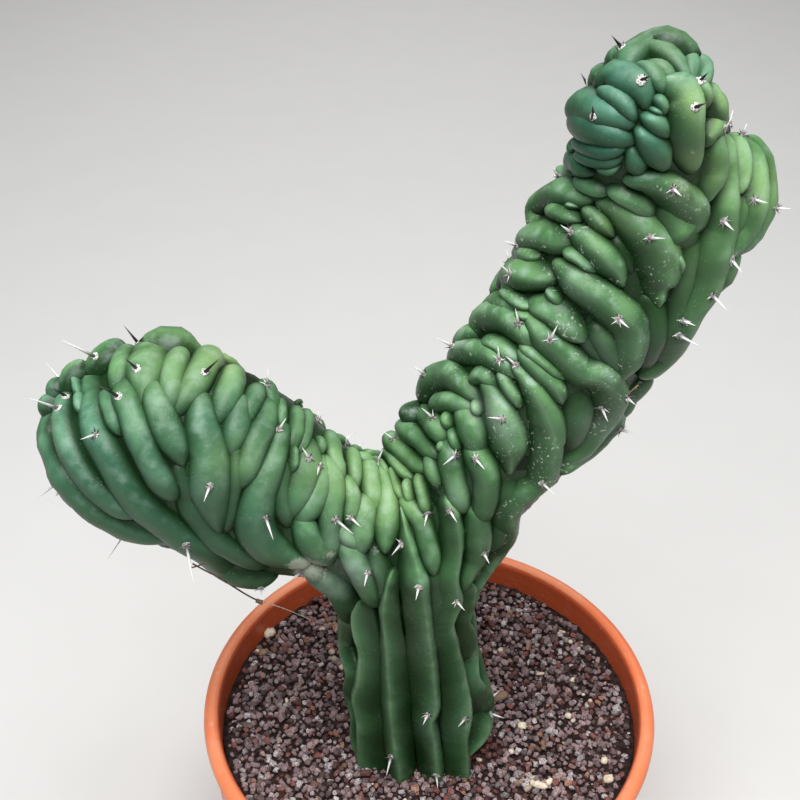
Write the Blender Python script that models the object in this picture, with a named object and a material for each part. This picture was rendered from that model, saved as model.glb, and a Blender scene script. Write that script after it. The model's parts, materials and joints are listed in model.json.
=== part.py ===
"""Crested blue candle cactus, growing in a terracotta coloured plastic pot.

The plant is one solid. Its slim inner core is a few chains of round sections, and
its lobes and ribs stand out of that core, each a sphere drawn out along its own line.
The line of each lobe is written as it looks from SIGHT, in millimetres across and up
on the upright plane through the pot's middle, and seat() lays it on the core along
the line of sight. Metres, +Z up, the origin at the middle of the pot's base.
"""

import math
import random

import bmesh
import bpy
import numpy as np
from mathutils import Matrix, Vector
from mathutils.bvhtree import BVHTree

MM = 0.001

# Pot
RIM_RADIUS = 0.130
POT_HEIGHT = 0.200
BASE_RADIUS = 0.088
LIP_RADIUS = 0.0045
LIP_OVERHANG = 0.0035
LIP_POINTS = 6
COLLAR_HEIGHT = 0.036
COLLAR_STEP = 0.004
WALL = 0.0030
FLOOR = 0.006
EDGE = 0.002
FOOT_HEIGHT = 0.0035
FOOT_WIDTH = 0.008
HUB_RADIUS = 0.030
DRAIN_RADIUS = 0.005
DRAIN_CIRCLE = 0.055
DRAIN_COUNT = 6
DRAIN_SIDES = 8
POT_SIDES = 48
SMOOTH_UNDER = math.radians(40)

COLLAR_RADIUS = RIM_RADIUS - LIP_OVERHANG
COLLAR_FOOT = POT_HEIGHT - 2 * LIP_RADIUS - COLLAR_HEIGHT

# Filling
GAP = 0.0003
SIDE_GAP = 0.00045
SOIL_TOP = 0.1755
GRAVEL_TOP = 0.1822
GRAVEL_RELIEF = 0.0030
GRAVEL_GRAIN = 0.0064
GRAVEL_SEED = 7
GRAIN_HEIGHTS = (0.47, 0.85)
GRAIN_WANDER = 0.16
TRODDEN_RADIUS = 0.062
TRODDEN_SHARE = 0.35

# Where the plant stands: its ribs end level, just over the gravel, and a round neck goes on
# down into a hole.
STEM_CENTRE = (-0.005, -0.005)
FOOT_LEVEL = 0.1838
NECK_RADIUS = 0.0275
NECK_BOTTOM = 0.145
STEM_HOLE_RADIUS = 0.0300
STEM_HOLE_SIDES = 24
MARGIN = 0.010

# Plant, in mm
SIGHT = (-16.6, -471.4, 742.3)
APPROACH = 160.0
RIDGE_HEIGHT = 8.0
LEAST_HALF_DEPTH = 6.0
BLEND = 10.0
END_REACH = 0.35
END_ROUNDNESS = 2.2
SLIMMING = 0.93
LOBE_SIDES = 14
LOBE_RINGS = (10, 40)
LOBE_RING_STEP = 4.5
CORE_SIDES = 24
CORE_STEPS = 7
CURVE_STEPS = 6
MARCH_STEPS = 150
VOXEL = 0.0013
BODY_TRIANGLES = 7450

REAR_SEED = 11
REAR_JITTER = 2.0
REAR_SWELL = (0.96, 1.08)
REAR_FACING = 0.0
UNDER_SEED = 5
UNDER_RIB_STEP = 13.0
UNDER_RIB_WIDTH = 14.0
UNDER_RIB_REACH = 56
UNDER_RIB_SINK = 2.0
TIP_CENTRE = (-147, -7, 384)
TIP_RIB_TURNS = (-40, -13, 13, 40)
TIP_RIB_ENDS = (62, -60)
TIP_RIB_WIDTH = 15.0
TIP_RIB_SINK = 1.5
RIB_POINTS = 7

# Spines
SPINE_SEED = 23
SPINE_ROOT = 0.0025
SPINE_RISE = 0.55
LONG_SPINE_RADIUS = 0.00125
RADIAL_RADIUS = 0.00095
RADIAL_LENGTH = 0.0050
RADIAL_OFFSET = 0.0018
RADIALS = 2
REAR_RADIALS = 1
LOWEST_AREOLE = FOOT_LEVEL + 0.008
LEAST_LEAN = 0.25

# The core: chains of round sections (x, y, z, radius in mm), and how much each chain is
# flattened from front to back.
CORE = [
    (1.0, [(-5, -5, 150, 27), (-5, -5, 190, 28), (-10, -5, 230, 28), (-13, -5, 260, 28),
           (-12, -5, 290, 30), (-9, -5, 322, 31)]),
    (1.15, [(-9, -5, 322, 31), (-28, -5, 336, 24), (-45, -5, 344, 25), (-68, -5, 362, 27),
            (-90, -5, 374, 36), (-110, -5, 382, 42), (-128, -5, 387, 45), (-147, -7, 384, 37)]),
    (1.1, [(-9, -5, 322, 31), (-24, -5, 326, 30), (-55, -5, 340, 31), (-85, -5, 352, 37),
           (-115, -5, 368, 39), (-138, -5, 378, 37)]),
    (1.1, [(-9, -5, 322, 31), (16, -3, 362, 31), (38, 0, 400, 36), (54, 0, 431, 36),
           (73, 2, 465, 37), (90, 6, 495, 35), (88, -2, 530, 28), (81, -15, 559, 22)]),
    (1.0, [(73, 2, 465, 34), (75, 0, 497, 28)]),
    (1.1, [(90, 6, 478, 32), (106, 14, 503, 27)]),
]

# Lobes and ribs, as seen: width in mm (one, or several along the line), then the line.
LEFT_ARM = [
    ((15, 18, 18), (-186, 404), (-192, 386), (-188, 362), (-177, 342), (-160, 329), (-138, 322)),
    (13, (-176, 410), (-180, 391), (-178, 375), (-172, 358), (-163, 346), (-154, 339)),
    (6, (-169, 410), (-170, 400)),
    ((16, 18, 22), (-163, 409), (-164, 391), (-159, 372), (-151, 351), (-141, 336), (-131, 326),
     (-119, 315), (-109, 304), (-98, 296), (-88, 293)),
    (9, (-157, 411), (-154, 391)),
    (14, (-148, 416), (-146, 398), (-143, 380), (-138, 363), (-133, 351)),
    (15, (-134, 414), (-131, 394), (-126, 374)),
    (15, (-149, 442), (-158, 432), (-162, 422), (-163, 410)),
    (11, (-144, 440), (-149, 429), (-151, 415)),
    (12, (-169, 430), (-175, 421), (-177, 410)),
    (5, (-170, 421), (-169, 411)),
    (9, (-180, 420), (-183, 411)),
    (9, (-186, 410), (-192, 400)),
    ((17, 20), (-113, 441), (-123, 445), (-134, 436), (-140, 423), (-139, 408)),
    (13, (-120, 438), (-126, 423), (-127, 405)),
    (15.5, (-103, 438), (-111, 424), (-124, 403)),
    ((14, 17.5, 22, 22, 12), (-113, 408), (-114, 391), (-112, 374), (-113, 355), (-111, 329)),
    (14.5, (-94, 427), (-98, 414), (-105, 398)),
    (11, (-85, 417), (-91, 398)),
    (8.5, (-83, 420), (-78, 402)),
    (15, (-94, 406), (-100, 381)),
    (14, (-81, 404), (-89, 382), (-97, 360)),
    (7.5, (-76, 406), (-75, 393)),
    (10, (-67, 405), (-70, 381)),
    (9, (-62, 403), (-67, 378)),
    ((10, 14, 20, 22, 20, 12), (-74, 391), (-81, 370), (-90, 349), (-92, 331), (-83, 315),
     (-68, 305)),
    (5, (-70, 380), (-71.5, 366)),
    (18, (-64, 379), (-67, 361), (-73, 341)),
    (15, (-58, 371), (-60, 351), (-69, 333)),
    (13, (-54, 370), (-51, 355), (-53, 336), (-55, 307)),
    (15, (-68, 334), (-64, 320), (-55, 307)),
    (5.5, (-58.4, 387), (-58, 376)),
    (10.5, (-52, 389), (-51, 376), (-47, 360)),
]
MIDDLE = [
    (9.5, (-44, 359), (-42, 347), (-43, 331)),
    (14, (-35, 345), (-37, 329), (-38, 314)),
    (9, (-48, 327), (-40, 316)),
    (8.5, (-42, 379), (-41, 367), (-40, 355)),
    (7, (-39, 375), (-33, 369)),
    (12.5, (-34, 368), (-32, 355), (-30, 343)),
    ((8, 10, 12, 16, 10), (-29, 367), (-24, 357), (-22, 345), (-23.5, 329), (-24, 314)),
    (5, (-35, 373), (-27, 371)),
    (4.5, (-32, 370), (-22, 360)),
    (7.5, (-25, 370), (-16, 351)),
    (6, (-19, 365), (-14, 347)),
    (7, (-24, 375), (-17, 369), (-10, 361)),
    (10.5, (-22, 384), (-13, 376), (-4, 367)),
    (10.5, (-15, 393), (-7, 386), (1, 376)),
    (9, (-1, 373), (3, 357)),
    (7, (-5.5, 362), (-4, 351), (-2.5, 339)),
    (5.6, (-11, 359), (-10, 345)),
    (11, (-13, 345), (-5, 333), (-2, 318), (1, 298)),
    (13.5, (-45, 315), (-38, 299), (-30, 276)),
    ((14, 20, 18), (-70, 298), (-59, 298), (-51, 283), (-46, 262)),
    (13, (9, 381), (10.6, 366), (15.6, 343)),
    ((16, 12), (21, 380), (26.5, 366), (27, 351), (25, 334)),
    ((12, 15, 14.5, 10, 6), (22.6, 341), (23, 324), (22, 309), (18, 296), (15.6, 286)),
    (15.5, (16, 403), (19.5, 392), (22, 380)),
    (7, (10, 390), (13, 381)),
    (5, (6, 383), (5.6, 379)),
    (6, (8, 400), (9, 393)),
    (10, (1, 406), (9, 408), (18, 404)),
    (6, (21, 407.5), (22, 402)),
    (13, (-12.5, 401), (-4, 400), (3, 392), (6, 385)),
]
STEM = [
    (14, (-42, 283), (-40, 273), (-37, 253), (-35, 228), (-36, 202), (-36, 175), (-35, 141),
     (-35, 122)),
    ((6, 10, 14, 16, 16), (-14.5, 338), (-15.5, 321), (-19, 307), (-22, 288), (-23, 270),
     (-22, 249), (-20, 222), (-18.5, 196), (-17, 168), (-16, 140), (-15, 106)),
    ((6, 13, 15, 13, 14, 15, 16.6, 16.6), (-14.5, 344), (-11, 327), (-9, 310), (-10, 293),
     (-9, 270), (-7, 249), (-5, 222), (-3, 196), (-1, 171), (1, 147), (4.6, 119), (5, 105)),
    ((8, 13, 11, 13, 13, 15, 17), (3, 356), (8, 341), (10, 325), (9.4, 309), (8, 294),
     (6.6, 267), (6.4, 249), (9.5, 228), (13, 202), (15, 182), (15.4, 161), (17, 133),
     (17.5, 112)),
    (13, (20, 282), (16, 267), (17.6, 249), (21, 232), (24, 214), (27, 198), (31, 185),
     (30, 168), (28, 150), (27, 128)),
    ((12, 14), (-48, 262), (-47, 252), (-50, 238), (-45, 221), (-46, 198), (-42, 182),
     (-44, 164), (-45, 140)),
]
RIGHT_ARM = [
    ((9, 15.4, 18.8, 19.8, 10), (25, 418), (31, 407), (35, 394), (37, 380), (38, 367)),
    (15, (-4, 413), (1.4, 420), (10, 421), (19, 412)),
    (8.5, (19.6, 422), (24, 424.5), (29, 420)),
    (8, (32, 424), (36, 416), (40.5, 407)),
    (12, (9, 431), (16, 435.5), (25, 434), (32, 430), (36, 425)),
    (8.5, (25, 442), (32, 440), (39, 433)),
    (14, (20, 447), (24, 454), (32, 453.5), (41, 447.5), (44, 442)),
    (12, (19, 446), (11, 439)),
    (5.5, (39, 458), (46, 456)),
    (12.5, (46, 462), (54.5, 459), (63, 450), (67, 446)),
    ((12, 16, 17, 18, 18, 17, 14), (44.5, 454), (52.5, 443), (61, 434), (68, 427), (76, 426),
     (81, 417), (82, 410), (80, 402), (76, 394), (71, 383), (64, 374)),
    (7, (42, 439), (50, 432), (60, 423)),
    (10, (42, 435), (49.5, 426), (56, 419), (60, 410)),
    ((5, 11, 16, 16, 16, 15, 14, 12, 10, 10), (38, 430), (44, 420), (49, 412), (53, 402),
     (55, 392), (55, 380), (54, 368), (51, 361), (41, 351), (37, 338), (37, 324), (34, 312),
     (27, 299), (22, 287), (18, 272)),
    (11, (28, 465), (36, 461)),
    (6, (32, 469), (39.5, 463), (45, 461)),
    (6, (52, 469), (56, 463)),
    ((16, 18, 13), (50.7, 477), (42.7, 479), (34.9, 477), (31, 473)),
    (10, (45, 487), (37, 489)),
    (15, (56.5, 495), (47, 498), (39.7, 495)),
    ((13, 17, 17), (65.4, 518), (52.5, 521), (43, 515), (40, 506), (39.4, 500)),
    (8, (50, 509.4), (54.8, 507.6), (60.8, 505)),
    (3.5, (58, 511), (62, 511)),
    (9, (65, 508), (69.8, 504), (74.8, 499)),
    ((10, 13, 14, 13.5, 9), (60.7, 499), (66.3, 494), (73.5, 486.5), (79.5, 480), (82, 475)),
    (6, (58.7, 490), (64.4, 486.5), (70, 481)),
    ((10, 15, 16.5, 17, 18, 18, 17, 15, 8), (54.6, 482), (62, 475), (71.3, 468), (80, 460),
     (87, 453), (88.5, 445), (88.5, 439), (88, 431), (85.6, 423)),
    ((10, 15, 19, 22, 21.5, 19, 9), (71.6, 512), (79, 509), (87.5, 501), (94, 491), (97.6, 480),
     (98, 471), (100, 464.6)),
    (6, (104, 489), (107, 480)),
    ((6, 8.5, 9.5, 8), (74.2, 521), (81, 518), (87, 514), (92, 510)),
    (7, (61, 524.5), (66.8, 522), (71.8, 519)),
    ((8, 12, 15, 18, 19, 17, 8), (81, 524.5), (88.6, 524), (96.6, 520.5), (103, 514),
     (106.6, 507), (107.7, 499), (109.6, 494)),
    ((10, 13, 14, 13, 12, 10), (88, 401.6), (87.7, 395), (83.4, 385), (76.3, 376), (68.7, 369),
     (63.7, 365)),
    (14, (97.7, 422.7), (93.3, 415.4), (90, 409)),
]
FOLD = [
    ((8, 12, 14, 14, 9), (112.2, 543), (113.2, 536), (113.4, 529), (113.2, 522), (113, 516)),
    ((6, 9, 10, 11, 13, 17, 19, 20, 19, 17, 16, 17, 17, 16, 12), (116.8, 542), (118.9, 534.5),
     (120.4, 527), (121.3, 518.4), (121.7, 510), (120, 502), (117.6, 494), (116.8, 486.5),
     (116.7, 478), (114.8, 469.4), (112.2, 460.6), (108, 450), (106, 441), (102.3, 433),
     (98.5, 426)),
    ((7, 9, 10, 9, 5), (120.2, 541.4), (123.8, 535), (125.8, 529), (126.4, 522), (125.7, 517.4)),
    ((7, 9.5, 10.5, 12, 14, 15, 15, 13, 9), (124.6, 541), (129, 536), (131.4, 530),
     (132.7, 524), (133, 518), (132.5, 510.5), (130.4, 502.5), (127.4, 495), (123.5, 487)),
    ((8, 12, 13, 13.5, 14, 15, 16, 14, 10), (128.8, 541), (134.8, 536), (138, 531),
     (140, 524), (141.4, 518), (141.3, 510.5), (139, 503), (135.4, 496), (131.8, 490)),
    (6, (146, 522), (147, 518), (146, 514)),
    ((10, 12, 12, 9), (129.7, 488), (127, 481.6), (125.3, 476), (123.5, 470)),
]
HEAD = [
    ((15, 17, 14, 11), (55, 555), (62, 556), (70.2, 553), (77, 549.5)),
    ((14, 14, 12, 10), (56, 550), (62.7, 548), (71, 545), (78.6, 542.4)),
    ((7, 8.5, 8, 6), (66.3, 562.5), (72, 560), (77, 555.7), (80, 551.6)),
    ((10, 15, 15, 13, 9), (64.3, 566.5), (69, 569), (75.8, 567), (81.6, 562.5), (84.2, 557)),
    ((6, 8, 8, 6), (79, 571.5), (84, 570), (87.3, 566), (89, 562)),
    (8, (83.6, 572.5), (89, 570), (92, 566.5)),
    ((7, 10, 10.5, 9.5, 6), (78, 578.4), (83.5, 578.4), (89.6, 576), (94.6, 572), (97.8, 567)),
    (9, (84.3, 581.5), (90, 581.5), (95, 578), (98.5, 573), (100, 568)),
    ((12, 15, 15, 14, 12), (74, 572), (78, 578), (84, 582), (91, 583), (97, 580), (101, 574),
     (103, 568)),
    (9, (104.4, 576), (106.5, 572), (106.6, 567), (106, 564)),
    ((10, 13, 15, 16, 15, 14, 11), (94, 565), (98.7, 561), (102, 555), (102.5, 548),
     (102, 541), (103.6, 534.5), (105.6, 529)),
    (5, (94, 567), (98.7, 565)),
    ((9, 13, 12.5, 9), (109.7, 562), (111.7, 557), (111.5, 551.6), (110, 547.4)),
    (7, (102.6, 565), (105.2, 561), (107, 557)),
    (6, (88.2, 559), (90.6, 555.7), (91, 553.6)),
    ((7, 9, 7.5), (84.4, 552), (89, 549.5), (93.2, 545)),
    (4, (86, 555), (91, 553)),
    ((7, 11, 12, 9), (82.8, 546), (87.4, 541), (91.4, 536), (94, 531.6)),
    ((7, 9.5, 8), (81, 537.4), (83, 533), (85.4, 529.5)),
    ((6, 8, 8, 6), (59.6, 541.7), (65, 539), (71.7, 538), (77, 539)),
    ((5, 7.5, 7.5, 6), (61, 536.7), (66, 534), (72, 533.8), (76.7, 535)),
    ((5, 6, 5), (69, 531), (73, 530), (76.4, 531.3)),
    ((11, 11, 8), (54, 533), (59, 531), (64.3, 528)),
    (5, (56.7, 541), (59, 539)),
]
LOBES = LEFT_ARM + MIDDLE + STEM + RIGHT_ARM + FOLD + HEAD

# Areoles, as seen: the felt spot, then the tip of its long spine.
AREOLES = [
    ((-182, 404), (-195, 410)), ((-164, 437), (-174, 443)), ((-152, 411), (-160, 417)),
    ((-166, 388), (-174, 385)), ((-141, 427), (-146, 433)), ((-177, 411), (-183, 416)),
    ((-194, 357), (-203, 346)), ((-165, 319), (-172, 305)), ((-129, 315), (-128, 289)),
    ((-92, 284), (-92, 276)), ((-109, 425), (-101, 433)), ((-113, 355), (-117, 345)),
    ((-86, 334), (-83, 319)), ((-80, 418), (-79, 427)), ((-76, 391), (-72, 398)),
    ((-62, 373), (-65, 380)), ((-57, 368), (-61, 362)), ((-50, 333), (-41, 323)),
    ((-42, 334), (-37, 328)), ((-28, 371), (-25, 379)), ((-43, 381), (-46, 387)),
    ((-20, 385), (-25, 390)), ((-0.6, 398), (-6, 404)), ((-16, 316), (-21, 308)),
    ((-2.5, 337), (-4, 328)), ((-34, 295), (-36, 285)), ((-69, 296), (-77, 289)),
    ((-6.4, 284.5), (-8, 275)), ((11, 375), (5, 369)), ((21, 373), (26, 366)),
    ((33, 397.5), (26, 398.5)), ((9, 339), (13, 331)), ((28, 309), (31, 302)),
    ((14.4, 274), (19, 267)), ((55.6, 357), (62, 350)), ((-5, 424), (-10, 428)),
    ((8, 439.5), (0.4, 444)), ((30, 432), (29, 440)), ((38, 452), (36, 460)),
    ((53, 443), (56, 451)), ((38, 429), (33, 434)), ((32.5, 478), (28, 483)),
    ((35, 492), (29, 494.7)), ((58, 499), (53.4, 502.3)), ((51, 525), (47.5, 530)),
    ((84, 454), (89.2, 449.5)), ((93, 496), (100, 495.8)), ((100.4, 519.4), (104.5, 516)),
    ((124.4, 504), (129.6, 499.5)), ((136, 514.4), (142, 512.8)), ((146, 510.2), (152.5, 510.2)),
    ((118.3, 547), (120, 551)), ((125.8, 544), (127, 549)), ((131, 485), (136.7, 478.4)),
    ((125, 466.8), (132.8, 459.2)), ((112.5, 445.6), (122.4, 440)), ((113.5, 453.4), (119.5, 450.8)),
    ((81, 404), (84.8, 395.7)), ((91.5, 391), (99.4, 388)), ((92.5, 410), (97.4, 405.6)),
    ((62.9, 552), (62.4, 557)), ((81.3, 567.5), (85.1, 569.5)), ((71.5, 581), (67.1, 585.8)),
    ((104.6, 556), (109.4, 558)), ((105.1, 567.3), (108, 571)), ((-44, 141), (-52, 127.5)),
    ((-22, 142), (-25, 124.5)), ((0, 181), (-3, 172)), ((6, 124), (7, 112)),
    ((22, 177), (18, 170)), ((37, 182), (45, 178)),
]


def clear_scene():
    for obj in list(bpy.data.objects):
        bpy.data.objects.remove(obj, do_unlink=True)


def plain_material(name, colour, roughness):
    material = bpy.data.materials.new(name)
    material.use_nodes = True
    shader = material.node_tree.nodes["Principled BSDF"]
    shader.inputs["Base Color"].default_value = (*colour, 1.0)
    shader.inputs["Roughness"].default_value = roughness
    shader.inputs["Metallic"].default_value = 0.0
    return material


def finish(obj, material):
    """Gives the object its one material."""
    obj.data.materials.clear()
    obj.data.materials.append(material)
    for face in obj.data.polygons:
        face.material_index = 0


def object_from(bm, name):
    """A new object in the scene whose mesh is this bmesh, faces out."""
    bmesh.ops.recalc_face_normals(bm, faces=bm.faces)
    mesh = bpy.data.meshes.new(name)
    bm.to_mesh(mesh)
    bm.free()
    obj = bpy.data.objects.new(name, mesh)
    bpy.context.collection.objects.link(obj)
    return obj


def apply_modifiers(obj):
    graph = bpy.context.evaluated_depsgraph_get()
    mesh = bpy.data.meshes.new_from_object(obj.evaluated_get(graph))
    obj.modifiers.clear()
    obj.data = mesh


def boolean(obj, operand, operation, solver="EXACT"):
    """Applies one Boolean with an object or with a whole collection, and removes what it used."""
    modifier = obj.modifiers.new(operation.lower(), "BOOLEAN")
    modifier.operation = operation
    modifier.solver = solver
    if isinstance(operand, bpy.types.Collection):
        modifier.operand_type = "COLLECTION"
        modifier.collection = operand
        used = list(operand.objects)
    else:
        modifier.object = operand
        used = [operand]
    bpy.context.view_layer.update()
    apply_modifiers(obj)
    for tool in used:
        bpy.data.objects.remove(tool, do_unlink=True)
    if isinstance(operand, bpy.types.Collection):
        bpy.data.collections.remove(operand)


def turned(profile, sides):
    """A closed turned solid of (radius, height) points that start and end on the axis."""
    bm = bmesh.new()
    line = [bm.verts.new((radius, 0.0, height)) for radius, height in profile]
    edges = [bm.edges.new(pair) for pair in zip(line, line[1:])]
    bmesh.ops.spin(bm, geom=line + edges, axis=(0, 0, 1), cent=(0, 0, 0), steps=sides,
                   angle=math.tau, use_merge=True)
    bmesh.ops.remove_doubles(bm, verts=bm.verts, dist=1e-6)
    return bm


def cylinder(radius, bottom, top, sides, centre=(0.0, 0.0)):
    bm = bmesh.new()
    place = Matrix.Translation((centre[0], centre[1], (bottom + top) / 2))
    bmesh.ops.create_cone(bm, cap_ends=True, segments=sides, radius1=radius, radius2=radius,
                          depth=top - bottom, matrix=place)
    return bm


def core_distance(points):
    """Signed distance in mm from points (n, 3) to the core, and the core's middle there."""
    best = None
    middle = np.zeros_like(points)
    nearest = np.full(len(points), 1e9)
    for flatten, chain in CORE:
        here = np.full(len(points), 1e9)
        for start, end in zip(chain, chain[1:]):
            a, b = np.array(start[:3], float), np.array(end[:3], float)
            along = np.clip((points - a) @ (b - a) / ((b - a) @ (b - a)), 0, 1)[:, None]
            centre = a + along * (b - a)
            away = points - centre
            away[:, 1] *= flatten
            distance = np.linalg.norm(away, axis=1) - (start[3] + along[:, 0] * (end[3] - start[3]))
            closer = distance < nearest
            middle[closer] = centre[closer]
            nearest = np.minimum(nearest, distance)
            here = np.minimum(here, distance)
        if best is None:
            best = here
        else:
            mix = np.clip(0.5 + 0.5 * (here - best) / BLEND, 0, 1)
            best = here + (best - here) * mix - BLEND * mix * (1 - mix)
    return best, middle


def core_normal(points):
    step = 0.5
    slopes = [core_distance(points + step * axis)[0] - core_distance(points - step * axis)[0]
              for axis in np.eye(3)]
    normal = np.stack(slopes, axis=1)
    return normal / np.linalg.norm(normal, axis=1, keepdims=True)


def march(start, heading, height):
    """Walks each point along its heading to this height over the core, or to where it comes
    nearest to it."""
    points = start.copy()
    nearest = points.copy()
    least = np.full(len(points), 1e9)
    moving = np.arange(len(points))
    for _ in range(MARCH_STEPS):
        over = core_distance(points[moving])[0] - height[moving]
        closer = over < least[moving]
        nearest[moving[closer]] = points[moving[closer]]
        least[moving[closer]] = over[closer]
        apart = over > 0.05
        moving, over = moving[apart], over[apart]
        if not len(moving):
            break
        points[moving] += heading[moving] * np.clip(over * 0.7, 0.8, 40.0)[:, None]
    return nearest


def ridge_centre_height(widths):
    """How far over the core a lobe's centre line lies, so that its ridge stands RIDGE_HEIGHT
    proud."""
    return RIDGE_HEIGHT - np.maximum(widths / 2, LEAST_HALF_DEPTH)


def seat(seen, widths):
    """Lays points (across, up) as seen from SIGHT on the core, in mm."""
    eye = np.array(SIGHT)
    target = np.stack([seen[:, 0], np.zeros(len(seen)), seen[:, 1]], axis=1)
    heading = target - eye
    length = np.linalg.norm(heading, axis=1, keepdims=True)
    heading /= length
    return march(target - heading * APPROACH, heading, ridge_centre_height(widths))


def spread(values, count):
    """A width, or several, laid evenly over this many points."""
    values = np.atleast_1d(np.array(values, float))
    if len(values) == 1:
        return np.full(count, values[0])
    return np.interp(np.linspace(0, 1, count), np.linspace(0, 1, len(values)), values)


def parted(values, lengths):
    """Cuts one long array into arrays of these lengths."""
    return np.split(values, np.cumsum(lengths)[:-1])


def seen_lobes():
    """Every lobe that shows from SIGHT: its centre line in mm and its widths."""
    lines = [np.array(line, float) for _, *line in LOBES]
    widths = [spread(lobe[0], len(line)) for lobe, line in zip(LOBES, lines)]
    seated = seat(np.concatenate(lines), np.concatenate(widths))
    return list(zip(parted(seated, [len(line) for line in lines]), widths))


def facing(points):
    """Over zero where the core faces SIGHT."""
    to_eye = np.array(SIGHT) - points
    to_eye /= np.linalg.norm(to_eye, axis=1, keepdims=True)
    return (core_normal(points) * to_eye).sum(axis=1)


def mirrored(points):
    """The same points on the other flank of the core."""
    middle = core_distance(points)[1]
    turned_over = points.copy()
    turned_over[:, 1] = 2 * middle[:, 1] - points[:, 1]
    return turned_over


def rear_lobes(front):
    """The hidden flank grows the same way: the front lobes, turned over and shifted a little,
    as far as they lie out of sight."""
    draw = random.Random(REAR_SEED)
    lobes = []
    for points, widths in front:
        shift = np.array([draw.uniform(-1, 1), 0, draw.uniform(-1, 1)]) * REAR_JITTER
        swell = draw.uniform(*REAR_SWELL)
        back = mirrored(points) + shift
        hidden = np.flatnonzero(facing(back) < REAR_FACING)
        if len(hidden) > 1:
            kept = slice(hidden[0], hidden[-1] + 1)
            lobes.append((back[kept], widths[kept] * swell))
    return lobes


def laid_round(middle, out, width, sink):
    """A rib on the core that runs where these directions point, as seen from its middle."""
    widths = spread((0.75 * width, width, width, 0.75 * width), len(out))
    height = ridge_centre_height(widths) - sink
    return march(np.array(middle) + out * APPROACH, -out, height), widths


def under_lobes():
    """Ribs that run across the underside of the arms and the head, from flank to flank."""
    draw = random.Random(UNDER_SEED)
    lobes = []
    for _, chain in CORE[1:]:
        for start, end in zip(chain, chain[1:]):
            a, b = np.array(start[:3], float), np.array(end[:3], float)
            axis = (b - a) / np.linalg.norm(b - a)
            down = np.array([0, 0, -1.0]) + axis * axis[2]
            down /= np.linalg.norm(down)
            side = np.cross(axis, down)
            count = max(1, round(np.linalg.norm(b - a) / UNDER_RIB_STEP))
            for i in range(count):
                middle = a + (b - a) * (i + 0.5) / count
                reach = UNDER_RIB_REACH * draw.uniform(0.9, 1.1)
                turns = np.radians(np.linspace(-reach, reach, RIB_POINTS))[:, None]
                out = np.cos(turns) * down + np.sin(turns) * side
                width = UNDER_RIB_WIDTH * draw.uniform(0.9, 1.1)
                lobes.append(laid_round(middle, out, width, UNDER_RIB_SINK))
    return lobes


def tip_lobes():
    """Ribs that run from the crest over the end of the left arm to its underside."""
    rise = np.radians(np.linspace(*TIP_RIB_ENDS, RIB_POINTS))
    lobes = []
    for turn in np.radians(TIP_RIB_TURNS):
        out = np.stack([-np.cos(rise) * np.cos(turn), np.cos(rise) * np.sin(turn),
                        np.sin(rise)], axis=1)
        lobes.append(laid_round(TIP_CENTRE, out, TIP_RIB_WIDTH, TIP_RIB_SINK))
    return lobes


def smooth_line(points, widths):
    """Close points on a smooth curve through these points, with the width and the length run at
    each."""
    padded = np.concatenate([[2 * points[0] - points[1]], points, [2 * points[-1] - points[-2]]])
    fine, fine_widths = [], []
    for i in range(len(points) - 1):
        p0, p1, p2, p3 = padded[i:i + 4]
        for t in np.linspace(0, 1, CURVE_STEPS, endpoint=False):
            fine.append(0.5 * (2 * p1 + (p2 - p0) * t + (2 * p0 - 5 * p1 + 4 * p2 - p3) * t**2
                               + (3 * p1 - p0 - 3 * p2 + p3) * t**3))
            fine_widths.append(widths[i] + (widths[i + 1] - widths[i]) * t)
    fine = np.array(fine + [points[-1]])
    fine_widths = np.array(fine_widths + [widths[-1]])
    first = fine[0] - fine[1]
    last = fine[-1] - fine[-2]
    head = fine[0] + first / np.linalg.norm(first) * END_REACH * widths[0]
    tail = fine[-1] + last / np.linalg.norm(last) * END_REACH * widths[-1]
    fine = np.concatenate([[head], fine, [tail]])
    fine_widths = np.concatenate([widths[:1], fine_widths, widths[-1:]])
    run = np.concatenate([[0], np.cumsum(np.linalg.norm(np.diff(fine, axis=0), axis=1))])
    return fine, fine_widths, run


def add_sphere(bm, sides, rings, shape):
    """Adds a unit sphere to the bmesh, with its points moved by shape (all points to all
    points)."""
    one = bmesh.new()
    bmesh.ops.create_uvsphere(one, u_segments=sides, v_segments=rings, radius=1.0)
    moved = shape(np.array([vert.co[:] for vert in one.verts]))
    for vert, place in zip(one.verts, moved):
        vert.co = place
    mesh = bpy.data.meshes.new("sphere")
    one.to_mesh(mesh)
    one.free()
    bm.from_mesh(mesh)
    bpy.data.meshes.remove(mesh)


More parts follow.
